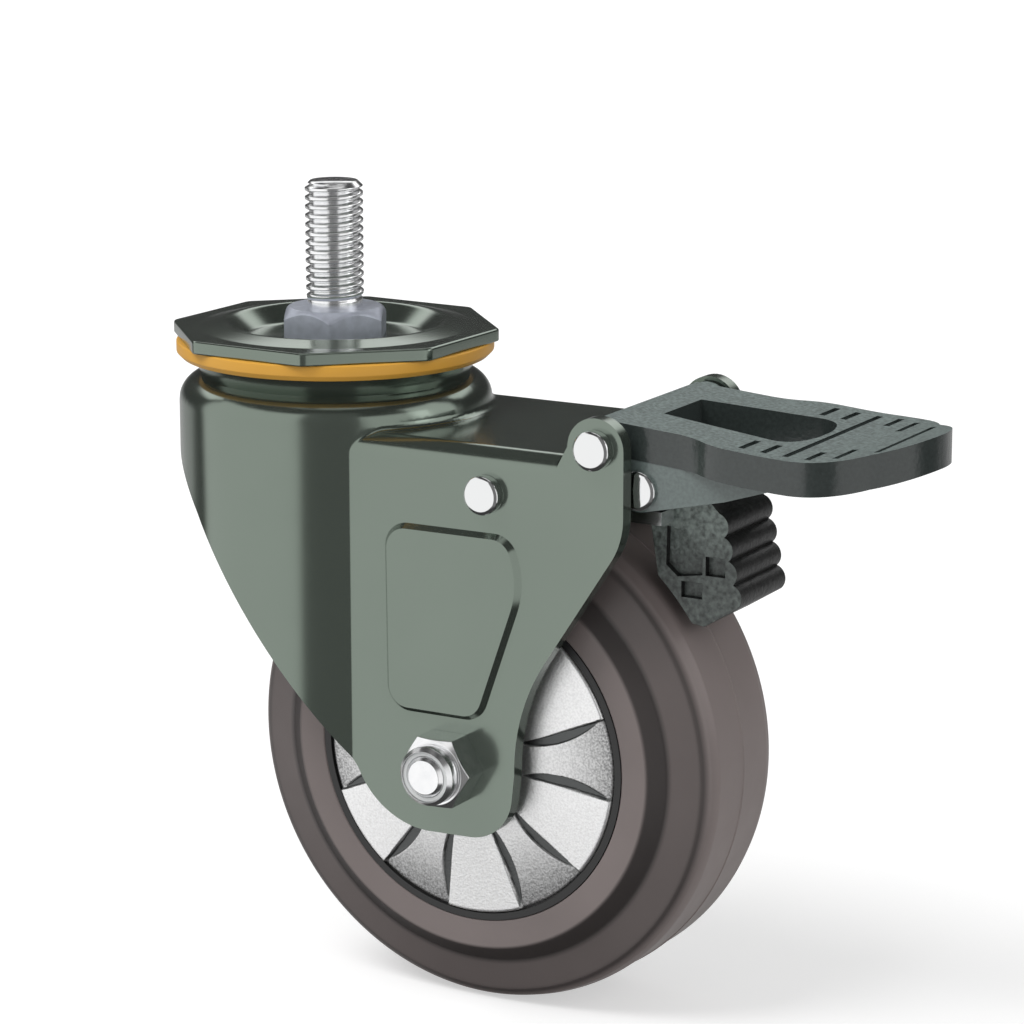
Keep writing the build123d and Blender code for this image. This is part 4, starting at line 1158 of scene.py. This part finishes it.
def studio_panel(tree, direction, azimuth, half_width, low, high, softness, strength):
    """A soft-edged panel of light on the studio's dome, by azimuth and height in degrees.

    The direction's height is compared with the sines of the panel's two edges, and its bearing with the
    panel's middle by the cosine between them.
    """
    height = add(tree, "SeparateXYZ", inputs={"Vector": direction}).outputs["Z"]
    level_direction = add(tree, "VectorMath", {"operation": "MULTIPLY"}, {0: direction, 1: (1, 1, 0)})
    level = add(tree, "VectorMath", {"operation": "NORMALIZE"}, {0: level_direction.outputs[0]})
    towards = {0: level.outputs[0], 1: direction_to(azimuth, 0)}
    cosine = add(tree, "VectorMath", {"operation": "DOT_PRODUCT"}, towards).outputs["Value"]
    rises = add(tree, "MapRange", SOFT_STEP, {
        "Value": height,
        "From Min": math.sin(math.radians(low - softness)),
        "From Max": math.sin(math.radians(low + softness)),
    })
    falls = add(tree, "MapRange", SOFT_STEP, {
        "Value": height,
        "From Min": math.sin(math.radians(high - softness)),
        "From Max": math.sin(math.radians(high + softness)),
        "To Min": 1.0,
        "To Max": 0.0,
    })
    sides = add(tree, "MapRange", SOFT_STEP, {
        "Value": cosine,
        "From Min": math.cos(math.radians(min(half_width + softness, 179))),
        "From Max": math.cos(math.radians(max(half_width - softness, 0))),
    })
    light = rises.outputs[0]
    for factor in (falls.outputs[0], sides.outputs[0], strength):
        light = add(tree, "Math", {"operation": "MULTIPLY"}, {0: light, 1: factor}).outputs[0]
    return light


class CASTOR_OT_stage(bpy.types.Operator):
    """Builds the pale floor, the soft studio light and the camera"""

    bl_idname = "castor.stage"
    bl_label = "Floor, light and camera"

    def execute(self, context):
        look = context.scene.castor_stage
        self.floor(look)
        self.lamps(look)
        self.studio(context, look)
        self.camera(context)
        context.scene.view_settings.view_transform = "Standard"
        return {"FINISHED"}

    def floor(self, look):
        """A flat pale floor under the tyre, seen by the camera and not by reflections."""
        height = CAD_BOX[0].z
        mesh = bpy.data.meshes.new("studio_floor")
        signs = ((-1, -1), (1, -1), (1, 1), (-1, 1))
        places = [(x * FLOOR_REACH, y * FLOOR_REACH, height) for x, y in signs]
        mesh.from_pydata(places, [], [(0, 1, 2, 3)])
        ground = bpy.data.objects.new("studio_floor", mesh)
        bpy.context.scene.collection.objects.link(ground)
        material, tree, shader = finish("painted_studio_floor", look.floor_colour, {"Roughness": 0.9})
        seen = add(tree, "LightPath").outputs["Is Camera Ray"]
        lift = add(tree, "Math", {"operation": "MULTIPLY"}, {0: seen, 1: FLOOR_LIFT})
        glow = add(tree, "Emission", inputs={"Strength": lift.outputs[0]})
        both = add(tree, "AddShader", inputs={0: shader.outputs[0], 1: glow.outputs[0]})
        tree.links.new(both.outputs[0], tree.nodes["Material Output"].inputs[0])
        dress(ground, material)
        ground.visible_glossy = False

    def lamps(self, look):
        """A broad key light from the upper left front and a weaker one from the right."""
        for name, azimuth, elevation, share, width in LAMPS:
            lamp = bpy.data.lights.new(name, "SUN")
            lamp.energy = look.sun_strength * share
            lamp.angle = math.radians(width)
            light = bpy.data.objects.new(name, lamp)
            light.rotation_mode = "QUATERNION"
            light.rotation_quaternion = direction_to(azimuth, elevation).to_track_quat("Z", "Y")
            light.visible_glossy = False
            bpy.context.scene.collection.objects.link(light)

    def studio(self, context, look):
        """White for the camera, an even fill for matt surfaces, and panels of light for glossy ones."""
        world = bpy.data.worlds.new("studio")
        context.scene.world = world
        world.use_nodes = True
        world.cycles.sampling_method = "NONE"
        tree = world.node_tree
        tree.nodes.clear()
        direction = add(tree, "TexCoord").outputs["Generated"]
        total = STUDIO_DARK
        for panel in STUDIO_PANELS:
            light = studio_panel(tree, direction, *panel)
            total = add(tree, "Math", {"operation": "ADD"}, {0: light, 1: total}).outputs[0]
        rays = add(tree, "LightPath").outputs
        either = {0: rays["Is Glossy Ray"], 1: rays["Is Transmission Ray"]}
        shiny = add(tree, "Math", {"operation": "MAXIMUM"}, either).outputs[0]
        mirrored = {"Factor": shiny, "A": look.fill_strength, "B": total}
        seen = add(tree, "Mix", {"data_type": "FLOAT"}, mirrored).outputs[0]
        white = {"Factor": rays["Is Camera Ray"], "A": seen, "B": 1.0}
        strength = add(tree, "Mix", {"data_type": "FLOAT"}, white).outputs[0]
        sky = add(tree, "Background", inputs={"Color": (1, 1, 1, 1), "Strength": strength})
        add(tree, "OutputWorld", inputs={0: sky.outputs[0]})

    def camera(self, context):
        """The photograph's view: a long lens, a little above the object and off its near side."""
        lens = bpy.data.cameras.new("photo_view")
        lens.sensor_width = CAMERA_SENSOR
        lens.lens = CAMERA_FOCAL_PIXELS / PHOTO_WIDTH * CAMERA_SENSOR
        lens.clip_start, lens.clip_end = CAMERA_CLIP
        view = bpy.data.objects.new("photo_view", lens)
        bearing, roll = math.radians(CAMERA_AZIMUTH), math.radians(CAMERA_ROLL)
        back = direction_to(CAMERA_AZIMUTH, CAMERA_ELEVATION)
        right = Vector((math.cos(bearing), math.sin(bearing), 0))
        up = back.cross(right)
        turned_right = right * math.cos(roll) + up * math.sin(roll)
        turned_up = up * math.cos(roll) - right * math.sin(roll)
        place = Matrix((turned_right, turned_up, back)).transposed().to_4x4()
        place.translation = Vector(CAMERA_PLACE) * MM
        view.matrix_world = place
        context.scene.collection.objects.link(view)
        context.scene.camera = view


SETTINGS = (
    ("castor_head", CastorHeadSettings),
    ("castor_fork", CastorForkSettings),
    ("castor_wheel", CastorWheelSettings),
    ("castor_pedal", CastorPedalSettings),
    ("castor_stage", CastorStageSettings),
)
OPERATORS = (
    CASTOR_OT_stem,
    CASTOR_OT_plate,
    CASTOR_OT_dust_ring,
    CASTOR_OT_fork,
    CASTOR_OT_pins,
    CASTOR_OT_axle,
    CASTOR_OT_tyre,
    CASTOR_OT_hub_covers,
    CASTOR_OT_wheel_core,
    CASTOR_OT_pedal,
    CASTOR_OT_brake_shoe,
    CASTOR_OT_lock_parts,
    CASTOR_OT_stage,
)


class CASTOR_PT_sidebar(bpy.types.Panel):
    """Lists the castor's settings and builders"""

    bl_idname = "CASTOR_PT_sidebar"
    bl_label = "Swivel castor"
    bl_space_type = "VIEW_3D"
    bl_region_type = "UI"
    bl_category = "Castor"

    def draw(self, context):
        for name, group in SETTINGS:
            box = self.layout.box()
            for key in group.__annotations__:
                box.prop(getattr(context.scene, name), key)
        for operator in OPERATORS:
            self.layout.operator(operator.bl_idname)


def register():
    """Registers the settings, builders and sidebar."""
    for name, group in SETTINGS:
        bpy.utils.register_class(group)
        setattr(bpy.types.Scene, name, bpy.props.PointerProperty(type=group))
    for operator in OPERATORS:
        bpy.utils.register_class(operator)
    bpy.utils.register_class(CASTOR_PT_sidebar)


def unregister():
    """Takes the settings, builders and sidebar out again."""
    bpy.utils.unregister_class(CASTOR_PT_sidebar)
    for operator in reversed(OPERATORS):
        bpy.utils.unregister_class(operator)
    for name, group in reversed(SETTINGS):
        delattr(bpy.types.Scene, name)
        bpy.utils.unregister_class(group)


def main():
    register()
    for operator in OPERATORS:
        family, builder = operator.bl_idname.split(".")
        getattr(getattr(bpy.ops, family), builder)()


if __name__ == "__main__":
    main()
